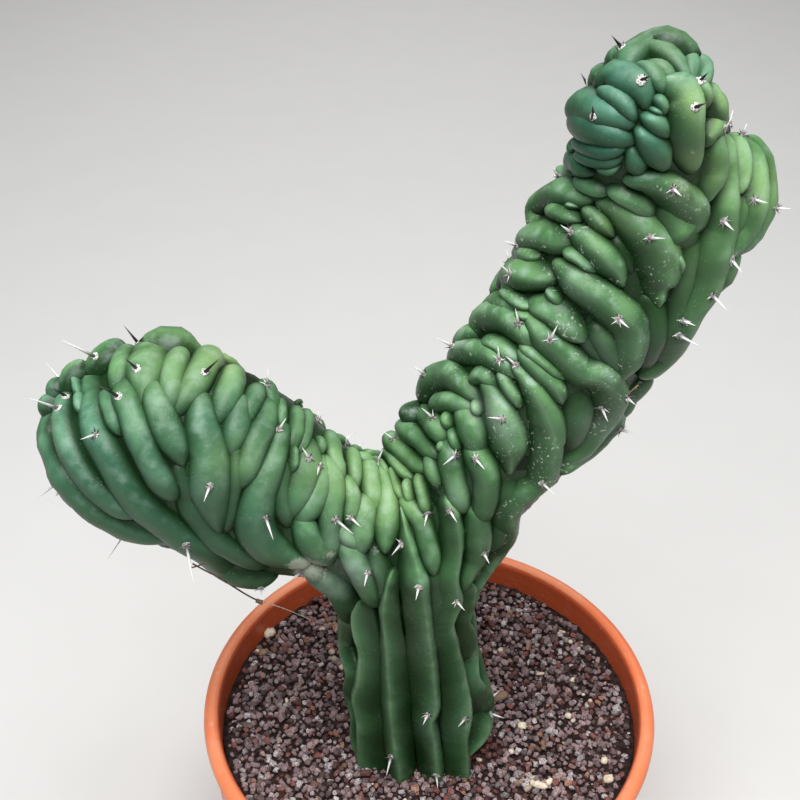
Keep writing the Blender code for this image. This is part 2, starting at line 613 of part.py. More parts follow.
def drawn_out(unit, line, normals):
    """A unit sphere's points, drawn out along the line: round across it, rounded at both ends,
    and as deep into the core as it needs to be rooted."""
    fine, fine_widths, run = line
    length = run[-1]
    along = np.clip(0.5 * (1 - unit[:, 2]), 0, 1) * length
    centre = np.stack([np.interp(along, run, fine[:, k]) for k in range(3)], axis=1)
    ahead = np.stack([np.interp(np.minimum(along + 1.0, length), run, fine[:, k])
                      for k in range(3)], axis=1)
    behind = np.stack([np.interp(np.maximum(along - 1.0, 0), run, fine[:, k])
                       for k in range(3)], axis=1)
    heading = ahead - behind
    heading /= np.linalg.norm(heading, axis=1, keepdims=True)
    outward = np.stack([np.interp(along, run, normals[:, k]) for k in range(3)], axis=1)
    outward -= (outward * heading).sum(axis=1, keepdims=True) * heading
    outward /= np.linalg.norm(outward, axis=1, keepdims=True)
    across = np.cross(heading, outward)
    half = np.interp(along, run, fine_widths) / 2
    reach = np.minimum(half * 2.0, length / 2)
    to_end = np.minimum(along, length - along)
    rounding = np.clip(1 - to_end / reach, 0, 1)
    swell = (1 - rounding**END_ROUNDNESS) ** (1 / END_ROUNDNESS)
    around = unit[:, :2] / np.maximum(np.linalg.norm(unit[:, :2], axis=1, keepdims=True), 1e-9)
    around[np.abs(unit[:, 2]) > 0.9999] = 0
    half_depth = np.maximum(half, LEAST_HALF_DEPTH)
    place = (centre + across * (around[:, :1] * (half * swell)[:, None])
             + outward * (around[:, 1:] * (half_depth * swell)[:, None]))
    return place * MM


def core_solid(bm):
    """The core itself, a drawn-out sphere for each link of its chains."""
    for flatten, chain in CORE:
        for start, end in zip(chain, chain[1:]):
            for t in np.linspace(0, 1, CORE_STEPS):
                *centre, radius = np.array(start) + (np.array(end) - start) * t
                size = np.array([radius, radius / flatten, radius])
                add_sphere(bm, CORE_SIDES, CORE_SIDES // 2,
                           lambda unit: (centre + unit * size) * MM)


def biggest_shell(obj):
    """Keeps only the outer skin, without the closed pockets between the lobes."""
    bm = bmesh.new()
    bm.from_mesh(obj.data)
    left = set(bm.verts)
    shells = []
    while left:
        shell = {left.pop()}
        edge_of_shell = list(shell)
        while edge_of_shell:
            vert = edge_of_shell.pop()
            for link in vert.link_edges:
                other = link.other_vert(vert)
                if other in left:
                    left.discard(other)
                    shell.add(other)
                    edge_of_shell.append(other)
        shells.append(shell)
    shells.sort(key=len)
    pockets = [vert for shell in shells[:-1] for vert in shell]
    bmesh.ops.delete(bm, geom=pockets, context="VERTS")
    bm.to_mesh(obj.data)
    bm.free()


def foot_cutter():
    """The ring that trims the ribs level, just over the gravel, and leaves the neck."""
    ring = object_from(cylinder(RIM_RADIUS, 0.0, FOOT_LEVEL, POT_SIDES), "foot_cutter")
    neck = object_from(cylinder(NECK_RADIUS, NECK_BOTTOM, FOOT_LEVEL + MARGIN, STEM_HOLE_SIDES,
                                STEM_CENTRE), "neck_keeper")
    boolean(ring, neck, "DIFFERENCE")
    return ring


def plant_body():
    front = seen_lobes()
    bm = bmesh.new()
    core_solid(bm)
    lobes = front + rear_lobes(front) + under_lobes() + tip_lobes()
    lines = [smooth_line(points, widths * SLIMMING) for points, widths in lobes]
    normals = core_normal(np.concatenate([line[0] for line in lines]))
    for line, outward in zip(lines, parted(normals, [len(line[0]) for line in lines])):
        rings = int(np.clip(line[2][-1] / LOBE_RING_STEP, *LOBE_RINGS))
        add_sphere(bm, LOBE_SIDES, rings, lambda unit: drawn_out(unit, line, outward))
    body = object_from(bm, "cactus")
    remesh = body.modifiers.new("skin", "REMESH")
    remesh.mode = "VOXEL"
    remesh.voxel_size = VOXEL
    apply_modifiers(body)
    biggest_shell(body)
    body.modifiers.new("triangles", "TRIANGULATE")
    decimate = body.modifiers.new("fewer_faces", "DECIMATE")
    decimate.ratio = BODY_TRIANGLES / (2 * len(body.data.polygons))
    decimate.use_collapse_triangulate = True
    apply_modifiers(body)
    boolean(body, foot_cutter(), "DIFFERENCE")
    return body


def spine(root, tip, radius, name, group):
    """One three-sided spine, sunk in at its root."""
    heading = (tip - root).normalized()
    start = root - heading * SPINE_ROOT
    length = (tip - start).length
    bm = bmesh.new()
    turn = Vector((0, 0, 1)).rotation_difference(heading).to_matrix().to_4x4()
    place = Matrix.Translation((start + tip) / 2) @ turn
    bmesh.ops.create_cone(bm, cap_ends=True, segments=3, radius1=radius, radius2=0.0,
                          depth=length, matrix=place)
    bmesh.ops.recalc_face_normals(bm, faces=bm.faces)
    mesh = bpy.data.meshes.new(name)
    bm.to_mesh(mesh)
    bm.free()
    group.objects.link(bpy.data.objects.new(name, mesh))


def sight_ray(seen):
    eye = Vector(SIGHT) * MM
    return eye, (Vector((seen[0] * MM, 0.0, seen[1] * MM)) - eye).normalized()


def spine_sets(body):
    """(root, tip, normal, radials) of each areole: those seen from SIGHT, and those turned over
    to the hidden flank."""
    tree = BVHTree.FromObject(body, bpy.context.evaluated_depsgraph_get())
    sets = []
    for spot, tip in AREOLES:
        eye, ray = sight_ray(spot)
        root, normal, _, distance = tree.ray_cast(eye, ray)
        if root is None:
            aim = eye + ray * (Vector((spot[0] * MM, 0, spot[1] * MM)) - eye).length
            root, normal, _, _ = tree.find_nearest(aim)
            distance = (root - eye).length
        _, tip_ray = sight_ray(tip)
        seen_length = math.dist(spot, tip) * MM
        end = eye + tip_ray * (distance - SPINE_RISE * seen_length)
        sets.append((root, end, normal, RADIALS))
    for root, end, _, _ in list(sets):
        flat = np.array([root[:], end[:]]) / MM
        middle = core_distance(flat[:1])[1][0]
        flat[:, 1] = 2 * middle[1] - flat[:, 1]
        back_root, back_end = (Vector(point) * MM for point in flat.tolist())
        if facing(flat[:1])[0] > 0.0:
            continue
        spot, normal, _, _ = tree.find_nearest(back_root)
        sets.append((spot, spot + (back_end - back_root), normal, REAR_RADIALS))
    return sets


def add_spines(body):
    group = bpy.data.collections.new("spines")
    bpy.context.scene.collection.children.link(group)
    draw = random.Random(SPINE_SEED)
    for number, (root, end, normal, radials) in enumerate(spine_sets(body)):
        if root.z < LOWEST_AREOLE:
            continue
        end.z = max(end.z, GRAVEL_TOP + GRAVEL_RELIEF + EDGE)
        heading = (end - root).normalized()
        if heading.dot(normal) < LEAST_LEAN:
            end = root + (heading + normal * 0.6).normalized() * (end - root).length
        spine(root, end, LONG_SPINE_RADIUS, f"long_{number}", group)
        side = normal.orthogonal().normalized()
        start_angle = draw.uniform(0, math.tau)
        for i in range(radials):
            turn = Matrix.Rotation(start_angle + math.tau * i / RADIALS, 3, normal)
            outward = turn @ side
            lean = (outward * 0.9 + normal * 0.55).normalized()
            foot = root + outward * RADIAL_OFFSET
            tip = foot + lean * RADIAL_LENGTH * draw.uniform(0.85, 1.15)
            spine(foot, tip, RADIAL_RADIUS, f"radial_{number}_{i}", group)
    boolean(body, group, "UNION", "MANIFOLD")


def make_cactus():
    body = plant_body()
    add_spines(body)
    body.data.shade_flat()
    finish(body, plain_material("cactus_skin", (0.10, 0.24, 0.10), 0.5))


def pot_inside(height):
    """The pot's inner radius at a height."""
    low, high = FLOOR, COLLAR_FOOT
    low_radius = BASE_RADIUS - WALL
    high_radius = COLLAR_RADIUS - COLLAR_STEP - WALL
    if height > COLLAR_FOOT:
        low, high = COLLAR_FOOT, POT_HEIGHT - LIP_RADIUS
        low_radius, high_radius = high_radius, RIM_RADIUS - 2 * LIP_RADIUS
    return low_radius + (high_radius - low_radius) * (height - low) / (high - low)


def pot_profile():
    """(radius, height) along the pot's outer and inner face, from the middle of its underside
    round to the middle of its inner floor."""
    outer = [
        (0.0, 0.0),
        (HUB_RADIUS, 0.0),
        (HUB_RADIUS + EDGE, FOOT_HEIGHT),
        (BASE_RADIUS - FOOT_WIDTH - EDGE, FOOT_HEIGHT),
        (BASE_RADIUS - FOOT_WIDTH, 0.0),
        (BASE_RADIUS - EDGE, 0.0),
        (BASE_RADIUS, EDGE),
        (COLLAR_RADIUS - COLLAR_STEP, COLLAR_FOOT),
        (COLLAR_RADIUS - EDGE / 2, COLLAR_FOOT + EDGE / 2),
        (COLLAR_RADIUS, POT_HEIGHT - 2 * LIP_RADIUS),
    ]
    turns = np.radians(np.linspace(-60, 180, LIP_POINTS))
    lip = [(RIM_RADIUS + LIP_RADIUS * (math.cos(turn) - 1),
            POT_HEIGHT + LIP_RADIUS * (math.sin(turn) - 1)) for turn in turns]
    inner = [
        (pot_inside(COLLAR_FOOT), COLLAR_FOOT),
        (pot_inside(FLOOR + EDGE), FLOOR + EDGE),
        (pot_inside(FLOOR) - EDGE, FLOOR),
        (0.0, FLOOR),
    ]
    return outer + lip + inner


def make_pot():
    pot = object_from(turned(pot_profile(), POT_SIDES), "pot")
    group = bpy.data.collections.new("drains")
    bpy.context.scene.collection.children.link(group)
    for i in range(DRAIN_COUNT):
        angle = math.tau * i / DRAIN_COUNT
        centre = (DRAIN_CIRCLE * math.cos(angle), DRAIN_CIRCLE * math.sin(angle))
        hole = cylinder(DRAIN_RADIUS, -MARGIN, FLOOR + MARGIN, DRAIN_SIDES, centre)
        drain = object_from(hole, f"drain_{i}")
        bpy.context.collection.objects.unlink(drain)
        group.objects.link(drain)
    boolean(pot, group, "DIFFERENCE")
    pot.data.shade_smooth()
    pot.data.set_sharp_from_angle(angle=SMOOTH_UNDER)
    finish(pot, plain_material("terracotta_plastic", (0.62, 0.17, 0.055), 0.5))


def cut_stem_hole(obj, bottom):
    hole = cylinder(STEM_HOLE_RADIUS, bottom, GRAVEL_TOP + MARGIN, STEM_HOLE_SIDES, STEM_CENTRE)
    boolean(obj, object_from(hole, "stem_hole"), "DIFFERENCE")


def make_soil():
    low = FLOOR + EDGE
    profile = [
        (0.0, FLOOR + GAP),
        (pot_inside(FLOOR) - 2 * EDGE, FLOOR + GAP),
        (pot_inside(low + EDGE) - SIDE_GAP, low + EDGE),
        (pot_inside(COLLAR_FOOT) - SIDE_GAP, COLLAR_FOOT),
        (pot_inside(SOIL_TOP) - SIDE_GAP, SOIL_TOP),
        (0.0, SOIL_TOP),
    ]
    soil = object_from(turned(profile, POT_SIDES), "potting_mix")
    cut_stem_hole(soil, NECK_BOTTOM - GAP)
    finish(soil, plain_material("potting_mix", (0.05, 0.035, 0.025), 0.95))


def grain_grid():
    """A sheared grid where every third point is the crown of a six-sided grain."""
    rows = 2 * math.ceil(RIM_RADIUS / GRAVEL_GRAIN * 1.2)
    columns = 2 * rows
    bm = bmesh.new()
    bmesh.ops.create_grid(bm, x_segments=columns, y_segments=rows, size=1.0)
    bm.verts.ensure_lookup_table()
    draw = random.Random(GRAVEL_SEED)
    wander = GRAIN_WANDER * GRAVEL_GRAIN
    for number, vert in enumerate(bm.verts):
        row, column = divmod(number, columns + 1)
        x = (column - columns / 2 + (row - rows / 2) / 2) * GRAVEL_GRAIN
        y = (row - rows / 2) * GRAVEL_GRAIN * math.sqrt(3) / 2
        height = -GRAVEL_RELIEF / 2
        if (row - column) % 3 == 0:
            crown = GRAVEL_RELIEF * draw.uniform(*GRAIN_HEIGHTS)
            from_stem = math.hypot(x - STEM_CENTRE[0], y - STEM_CENTRE[1])
            height += crown * (1 - TRODDEN_SHARE * (from_stem < TRODDEN_RADIUS))
        vert.co = (x + draw.uniform(-wander, wander), y + draw.uniform(-wander, wander),
                   GRAVEL_TOP + height)
    diagonals(bm)
    return bm


def make_gravel():
    """A layer of lava grains, larger than life, cut round to fill the pot."""
    bm = grain_grid()
    for item in bmesh.ops.extrude_face_region(bm, geom=bm.faces[:])["geom"]:
        if isinstance(item, bmesh.types.BMVert):
            item.co.z = SOIL_TOP - MARGIN
    gravel = object_from(bm, "lava_gravel")
    low, high = SOIL_TOP + GAP, GRAVEL_TOP + MARGIN
    ring = [(0.0, low), (pot_inside(low) - SIDE_GAP, low), (pot_inside(high) - SIDE_GAP, high),
            (0.0, high)]
    boolean(gravel, object_from(turned(ring, POT_SIDES), "gravel_ring"), "INTERSECT")
    cut_stem_hole(gravel, SOIL_TOP - MARGIN)
    finish(gravel, plain_material("lava_gravel", (0.11, 0.075, 0.07), 0.9))


def diagonals(bm):
    """Splits each face of the sheared grid along its short diagonal."""
    for face in bm.faces[:]:
        corners = face.verts[:]
        first = (corners[0].co - corners[2].co).length
        second = (corners[1].co - corners[3].co).length
        pair = (corners[0], corners[2]) if first < second else (corners[1], corners[3])
        bmesh.utils.face_split(face, *pair)


def main():
    clear_scene()
    make_cactus()
    make_pot()
    make_soil()
    make_gravel()


main()
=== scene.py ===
"""Crested blue candle cactus in a terracotta coloured pot: the finished looks.

The plant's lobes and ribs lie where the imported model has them, but for the stem's, which stand
up to a centimetre further forward, and a few that are moved by some millimetres. Each is a
sphere drawn out along its own line and laid on a slim core, here with finer faces, areoles,
wool and spines. The pot is turned again with a rounder lip, and loose lava grains lie on the
gravel. Lines are written as seen from SIGHT, in millimetres across and up on the upright plane
through the pot's middle.
"""

import json
import math
import random

import bmesh
import bpy
import numpy as np
from mathutils import Euler, Matrix, Vector
from mathutils.bvhtree import BVHTree

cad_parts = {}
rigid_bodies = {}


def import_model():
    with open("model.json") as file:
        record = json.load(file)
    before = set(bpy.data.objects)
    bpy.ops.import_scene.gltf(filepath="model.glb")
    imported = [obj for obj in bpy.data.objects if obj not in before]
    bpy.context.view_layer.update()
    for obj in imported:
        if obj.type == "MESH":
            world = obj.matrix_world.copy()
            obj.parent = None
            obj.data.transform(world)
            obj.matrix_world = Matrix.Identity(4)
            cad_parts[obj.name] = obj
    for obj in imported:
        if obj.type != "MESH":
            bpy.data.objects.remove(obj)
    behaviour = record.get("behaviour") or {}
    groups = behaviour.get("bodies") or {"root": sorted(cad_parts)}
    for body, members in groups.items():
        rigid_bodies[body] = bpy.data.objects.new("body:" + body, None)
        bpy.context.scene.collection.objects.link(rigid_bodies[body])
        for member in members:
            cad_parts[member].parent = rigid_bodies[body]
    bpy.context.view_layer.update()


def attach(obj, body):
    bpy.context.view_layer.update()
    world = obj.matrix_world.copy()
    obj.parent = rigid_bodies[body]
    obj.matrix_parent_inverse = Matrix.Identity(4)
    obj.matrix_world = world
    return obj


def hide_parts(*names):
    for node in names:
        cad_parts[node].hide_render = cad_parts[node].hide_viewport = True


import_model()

MM = 0.001
# Farther than anything here, and a guard against division by nothing.
FAR = 1e9
TINY = 1e-9

# View and light
CAMERA_PLACE = (-0.0166, -0.4714, 0.7423)
CAMERA_TILT = math.radians(90 - 35.28)
LENS = 54.0
FLOOR_SIZE = 14.0
# Name, place, aim, size in metres, watts, colour.
LIGHTS = [
    ("sky_panel", (-0.2, -0.9, 2.1), (0.0, 0.0, 0.35), 1.5, 57.0, (0.97, 0.99, 1.0)),
    ("key_light", (0.25, -0.05, 1.9), (0.0, 0.0, 0.35), 0.8, 14.0, (1.0, 0.99, 0.96)),
    ("side_light", (1.6, -0.7, 1.3), (0.0, 0.0, 0.35), 0.9, 2.5, (1.0, 1.0, 1.0)),
    ("floor_light", (0.0, 2.1, 1.7), (0.0, 2.0, 0.0), 1.8, 18.0, (1.0, 1.0, 1.0)),
]
SKY_STRENGTH = 0.09

# Levels, in metres: the neck's lower end, the lowest skin, and the lowest areole.
ROOT_LEVEL = 0.150
FOOT_LEVEL = 0.1795
AREOLE_FOOT_LEVEL = FOOT_LEVEL + 0.003

# Where the lines are seen from, in mm, and the walk from there to the core: how far before the
# plane it starts, how near is near enough, and how long and how many its steps are.
SIGHT = (-16.6, -471.4, 742.3)
APPROACH = 160.0
NEAR_ENOUGH = 0.05
STRIDE = 0.7
STRIDE_LIMITS = (0.8, 40.0)
MARCH_STEPS = 150

# The core, in mm: how softly its chains blend, how far apart its slope is measured, and how
# much each chain is swollen where it shows between the lobes.
BLEND = 10.0
SLOPE_STEP = 0.5
CORE_SIDES = 24
CORE_STEPS = 6
CORE_SWELLS = (0.0, 0.0, 0.0, 2.5, 2.5, 2.5, 2.5, 1.0)
STEM_CHAINS = 3

# The lobes, in mm: how proud a ridge stands, and a lobe's least half depth.
RIDGE_HEIGHT = 8.0
LEAST_HALF_DEPTH = 6.0
# How far a lobe runs on past its line, in widths, and how long a rounded end is, in half
# widths. Then the power of its curve at the line's start and at its end.
END_REACH = 0.35
END_LENGTH = 2.0
HEAD_ROUNDNESS = 2.2
TAIL_ROUNDNESS = 1.75
LOBE_SIDES = 24
LOBE_RINGS = (14, 72)
LOBE_RING_STEP = 2.3
REAR_SIDES = 16
REAR_RING_STEP = 3.4
CURVE_STEPS = 6
# A lobe's heading is measured this far to both sides, and it closes where the height on the
# sphere that it is drawn from is over POLE.
HEADING_STEP = 1.0
POLE = 0.9999
# The lumps in the skin: height, wavelength and seed. Then how many waves cross in a field.
SKIN_LUMPS = ((0.35, 19.0, 3), (0.14, 7.5, 4))
LUMP_WAVES = 6
# The way that the better lit skin faces.
UPWARD = (0.22, 0.0, 0.97)
# The way that a keel leans, and how narrow its pale line is; that line is partly a painted
# highlight.
RIGHTWARD = (0.9, 0.0, -0.44)
KEEL_SHARPNESS = 26

# Scurf lies only where the core faces SIGHT by more than this.
SCURF_FACING = -0.1

# Hidden lobes, in mm, with turns and reaches in degrees. The FACING values say how little the
# core faces SIGHT where they lie.
REAR_SEED = 11
REAR_JITTER = 2.0
REAR_SWELL = (0.96, 1.08)
REAR_FACING = 0.0
UNDER_FACING = -0.15
UNDER_SEED = 5
UNDER_RIB_STEP = 13.0
UNDER_RIB_WIDTH = 14.0
UNDER_RIB_REACH = 56
UNDER_RIB_REACHES = (0.9, 1.1)
UNDER_RIB_SINK = 2.0
TIP_CENTRE = (-147, -7, 384)
TIP_RIB_TURNS = (-40, -13, 13, 40)
TIP_RIB_ENDS = (62, -60)
TIP_RIB_WIDTH = 15.0
TIP_RIB_SINK = 1.5
RIB_POINTS = 7
RIB_SLANT = 0.45
RIB_WIDTH_RANGE = (0.8, 1.25)
# How wide a rib's ends are, against its middle.
RIB_END_SHARE = 0.75
# Upright ribs on the stem's narrow left and right sides.
SIDE_RIB_TURNS = (-8, 16, 40)
SIDE_RIB_ENDS = (176, 288)
SIDE_RIB_WIDTH = 15.0
SIDE_RIB_SINK = 3.4
SIDE_FACING = -0.02
STEM_AXIS = (-5, -9)
# Ribs across the back of the head: their middles, and how far they reach to each side.
NAPE = [(90, 4, 505), (89, 1, 517), (88, -2, 529), (85, -8, 541), (82, -13, 553)]
NAPE_TURNS = (-62, 38)
NAPE_RIB_WIDTH = 14.0
NAPE_RIB_SINK = 1.0

# Areoles, in mm
AREOLE_SWELL = 0.9
AREOLE_SWELL_RADIUS = 5.0
AREOLE_SEED = 23
SPINE_SIDES = 6
SPINE_ROOT = 1.0
SPINE_RISE = 0.55
# How thick a spine's tip is, against its foot.
SPINE_TIP_SHARE = 0.06
# A long spine that rises less than this from the skin is lifted by so much.
LEAST_LEAN = 0.2
SPINE_LIFT = 0.5
LONG_SPINE_RADIUS = 1.0
LONG_SPINE_DARKS = (0.0, 0.25)
RADIAL_RADIUS = 0.52
RADIAL_LENGTHS = (2.0, 3.8)
RADIAL_COUNTS = (5, 8)
RADIAL_JITTER = 0.2
RADIAL_LEANS = (0.25, 0.75)
RADIAL_FOOT = 0.6
RADIAL_DARKS = (0.1, 0.6, 0.9, 1.0)
# Young areoles have stout spines, dark where short, and short radial spines in the wool.
STOUT_RADIUS = 0.95
STOUT_LEAST_LENGTH = 5.0
STOUT_DARK_LENGTH = 12.0
YOUNG_RADIAL_FEET = (0.9, 1.9)
YOUNG_RADIAL_SPREAD = 0.5
YOUNG_RADIAL_SHARE = 0.40
# The felt: its radius and how much it varies, how high it stands in radii, how ragged it is.
WOOL_RADIUS = 1.9
WOOL_SIZES = (0.8, 1.1)
WOOL_HEIGHT = 0.4
YOUNG_WOOL_RADIUS = 2.1
YOUNG_WOOL_SIZES = (0.85, 1.1)
YOUNG_WOOL_HEIGHT = 0.24
WOOL_RAGGEDNESS = (0.82, 1.18)
# Spots over this height, or on the left arm's crest, left of and over these, have white wool.
YOUNG_ABOVE = 549.0
CREST_LEFT_OF = -100
CREST_ABOVE = 403

# Pot, in metres and degrees
RIM_RADIUS = 0.130
POT_HEIGHT = 0.200
BASE_RADIUS = 0.088
LIP_RADIUS = 0.0045
LIP_OVERHANG = 0.0035
LIP_POINTS = 22
# Where the lip's roll starts and ends, and how far under it the collar stops.
LIP_TURNS = (-62, 180)
LIP_TUCK = 0.0005
COLLAR_HEIGHT = 0.036
COLLAR_STEP = 0.004
# How far the wall stops short of the collar's step, and how far the step's corner stands out.
STEP_GAP = 0.0003
STEP_CORNER = 0.0008
WALL = 0.0030
FLOOR = 0.006
EDGE = 0.002
FOOT_HEIGHT = 0.0035
FOOT_WIDTH = 0.008
HUB_RADIUS = 0.030
DRAIN_RADIUS = 0.005
DRAIN_CIRCLE = 0.055
DRAIN_COUNT = 6
DRAIN_SIDES = 32
DRAIN_CUT = 0.040
POT_SIDES = 144
MERGE = 1e-6
SHARP_ANGLE = 42
# How near the inner face a point lies that has the inside's painted shade.
INSIDE_TOLERANCE = 0.0008
COLLAR_RADIUS = RIM_RADIUS - LIP_OVERHANG
COLLAR_FOOT = POT_HEIGHT - 2 * LIP_RADIUS - COLLAR_HEIGHT

# Gravel, in mm
GRAVEL_EDGE = 119.0
GRAIN_SEED = 41
GRAIN_SPACING = 3.9
# How many rows are laid to each side, against the spacings that go into the bed's radius.
GRAIN_ROWS_SHARE = 1.2
# How far a grain may lie from its place, in spacings.
GRAIN_JITTER = 0.3
GRAIN_RADII = (1.9, 2.8)
GRAIN_SCALES = (0.75, 0.9, 1.0, 1.0, 1.15, 1.3)
# How long, broad and high a grain is, against its radius, and how far it tilts in radians.
GRAIN_STRETCHES = ((0.7, 1.4), (0.65, 1.05), (0.7, 1.0))
GRAIN_TILT = 0.9
GRAIN_LEVEL = 182.2
GRAIN_RISE = 1.7
# The bed's unevenness: height, wavelength and seed.
BED_LUMPS = (0.9, 46.0, 8)
# How far inside the core a grain's middle may lie.
GRAIN_OVERLAP = 2.0
GRAIN_ROUNDNESS = 0.45
GRAIN_ROUGHNESS = 0.22
# How high up its side a grain is shaded, in half sizes, and how far whole grains are dimmed.
GRAIN_SHADE_RISE = 0.2
GRAIN_DIMMING = 0.45
CRUMB_COUNT = 1500
CRUMB_RADII = (0.7, 1.35)
CRUMB_LEVEL = 182.4
CRUMB_RISE = 0.6
# Patches of red grains: across, back, radius.
RED_PATCHES = [(34, -27, 9), (27, -33, 6), (73.4, 77.6, 3), (61.5, 66.3, 3)]
RED_TINT = 0.9
PEBBLE_LEVEL = 184.2
PEBBLE_SEED = 5
PEBBLE_ROUNDNESS = 0.85
PEBBLE_ROUGHNESS = 0.14
# How high a pebble is against its lesser width, and how it lies, in radians.
PEBBLE_HEIGHT_SHARE = 0.8
PEBBLE_TILT = (0.2, -0.2)
PEBBLE_TURN = 0.6
# Pale pebbles and husks: across, back, half length, half width, tint.
PEBBLES = [
    (-98.8, 62.8, 4.6, 3.4, 0.95), (-105, 47.6, 1.8, 1.4, 0.75), (-101.7, 46, 3.4, 2.6, 0.3),
    (-51.6, 34.5, 3.0, 1.9, 0.9), (-57.5, 41, 2.6, 2.2, 0.5), (-59, 46.5, 2.8, 2.0, 0.55),
    (54.5, -10.7, 3.3, 2.7, 0.85), (98.8, -35.5, 2.4, 2.9, 0.85), (99.4, -47.7, 3.6, 3.0, 0.8),
    (46.7, -29.2, 1.9, 2.1, 0.8), (82.1, -3.4, 2.6, 2.0, 0.75), (84.6, -7.1, 1.8, 1.5, 0.7),
    (68.7, 28.9, 3.4, 1.2, 0.65), (86, 63.7, 2.9, 0.9, 0.7), (90.1, 55.1, 1.5, 1.5, 0.8),
    (45.6, 47.6, 1.2, 2.0, 0.75), (96.5, 7.9, 1.6, 1.3, 0.7), (43.1, 10.9, 6.2, 3.0, 0.2),
    (28.1, -34.8, 2.6, 1.3, 0.6), (88, 24, 1.7, 2.1, 0.8), (93, 12.5, 1.4, 1.0, 0.85),
    (17.5, -43.5, 2.0, 2.2, 0.7), (-14, -62, 1.6, 1.3, 0.75), (72, -70, 1.8, 1.4, 0.75),
    (-84, 8, 1.2, 2.1, 0.75), (-66, 66, 2.4, 1.6, 0.62), (40, -75, 1.6, 1.2, 0.7),
    (60, -51.6, 6.4, 2.6, 0.9), (54, -54, 3.0, 1.8, 0.45), (66, -50, 3.4, 2.0, 0.95),
    (58, -47, 3.6, 1.4, 0.55), (50, -50, 2.4, 1.4, 0.3),
]
# Dry bits caught on the plant: name, radius in mm, then (across, up) as seen and the depth.
STRANDS = [
    ("dry_fibre", 0.42, [(-127, 302, -52), (-121, 297, -51), (-115, 293, -50), (-107, 285.5, -49),
                         (-99, 278, -48), (-94, 274.5, -47)]),
    ("fibre_twig", 0.36, [(-128.5, 299, -52), (-124, 300, -51), (-120, 303, -50)]),
    ("fibre_knot", 1.1, [(-95, 274.8, -47), (-93, 273.6, -47), (-91.5, 273.4, -47)]),
    ("pale_thread", 0.20, [(-92, 274, -47), (-84, 270.5, -42), (-77, 267, -36), (-66, 260, -30)]),
    ("dry_straw", 0.34, [(85, 402.6, -30), (89, 408, -31), (97, 417.5, -32)]),
]
FIBRE_DARK = (0.030, 0.018, 0.014)
FIBRE_BROWN = (0.110, 0.070, 0.045)
THREAD_PALE = (0.560, 0.520, 0.450)
THREAD_GREY = (0.300, 0.260, 0.220)
STRAW_YELLOW = (0.520, 0.420, 0.180)
STRAW_BROWN = (0.300, 0.220, 0.100)

# Colours, as linear red, green and blue
# Painted shade and painted light on the skin: its green where shaded, where lit, and a painted
# highlight.
SHADED_GREEN = (0.014, 0.062, 0.016)
LIT_GREEN = (0.092, 0.244, 0.086)
HIGHLIGHT_GREEN = (0.165, 0.335, 0.125)
STEM_GREEN = (0.034, 0.096, 0.035)
# Painted shade and painted light on blue skin: its blue where shaded and where lit.
SHADED_BLUE = (0.014, 0.064, 0.036)
LIT_BLUE = (0.056, 0.212, 0.174)
# Young skin's yellow green, partly a painted highlight.
YOUNG_AND_LIT_GREEN = (0.280, 0.440, 0.160)
TONE_LIGHT = (0.210, 0.380, 0.220)
# Painted shade in the creases between lobes.
CREASE_SHADE_GREEN = (0.008, 0.030, 0.007)
# A pale keel line, partly a painted highlight.
KEEL_PALE_AND_HIGHLIGHT = (0.210, 0.350, 0.200)
# White bloom, which also serves as a painted sheen on faces that look up.
BLOOM_AND_SHEEN_WHITE = (0.430, 0.560, 0.490)
FLECK_WHITE = (0.600, 0.650, 0.560)
SCURF_GREY = (0.420, 0.420, 0.350)
FELT_GREY = (0.40, 0.37, 0.35)
WOOL_CREAM = (0.86, 0.83, 0.78)
SPINE_PALE = (0.820, 0.800, 0.780)
SPINE_GREY = (0.360, 0.330, 0.330)
SPINE_BASE = (0.020, 0.012, 0.018)
SPINE_BLACK = (0.012, 0.006, 0.010)
SPINE_BROWN = (0.120, 0.060, 0.045)
POT_ORANGE = (0.760, 0.186, 0.072)
POT_ORANGE_LIGHT = (0.820, 0.275, 0.135)
# Painted shade on the pot's inner wall.
POT_INSIDE_SHADE = (0.560, 0.095, 0.030)
POT_SCUFF = (0.800, 0.400, 0.250)
POT_DUST = (0.420, 0.180, 0.100)
LAVA_PURPLE = (0.300, 0.205, 0.215)
LAVA_BROWN = (0.345, 0.235, 0.225)
LAVA_GREY = (0.500, 0.440, 0.445)
LAVA_RED = (0.210, 0.070, 0.058)
LAVA_SHADE = (0.022, 0.008, 0.007)
LAVA_ORANGE = (0.380, 0.190, 0.120)
LAVA_DUST = (0.420, 0.350, 0.340)
PEBBLE_CREAM = (0.700, 0.620, 0.480)
PEBBLE_BROWN = (0.220, 0.140, 0.090)
# Painted shade in the gaps between the lava grains.
GAP_SHADE_DEEP = (0.010, 0.005, 0.005)
GAP_SHADE_SOFT = (0.036, 0.020, 0.018)
SOIL_DARK = (0.015, 0.010, 0.007)
SOIL_LIGHT = (0.055, 0.035, 0.024)
# How far the colours of old skin and painted shade, of blue and of lighter skin hide the green.
OLD_AND_SHADE_SHARE = 0.75
BLUE_SHARE = 0.85
TONE_SHARE = 0.25
# How bright the dark parts of wool, and the painted shade in the lava's pits, are against the
# rest.
WOOL_SHADE = 0.45
PIT_SHADE = 0.4
WOOL_SHEEN = 0.4
# The scuffs on the pot run round it.
SCUFF_STRETCH = (0.25, 0.25, 3.0)
FLOOR_PALE = (0.660, 0.652, 0.640)
FLOOR_PALER = (0.668, 0.660, 0.648)
SKY_COLOUR = (1.0, 1.0, 1.0)

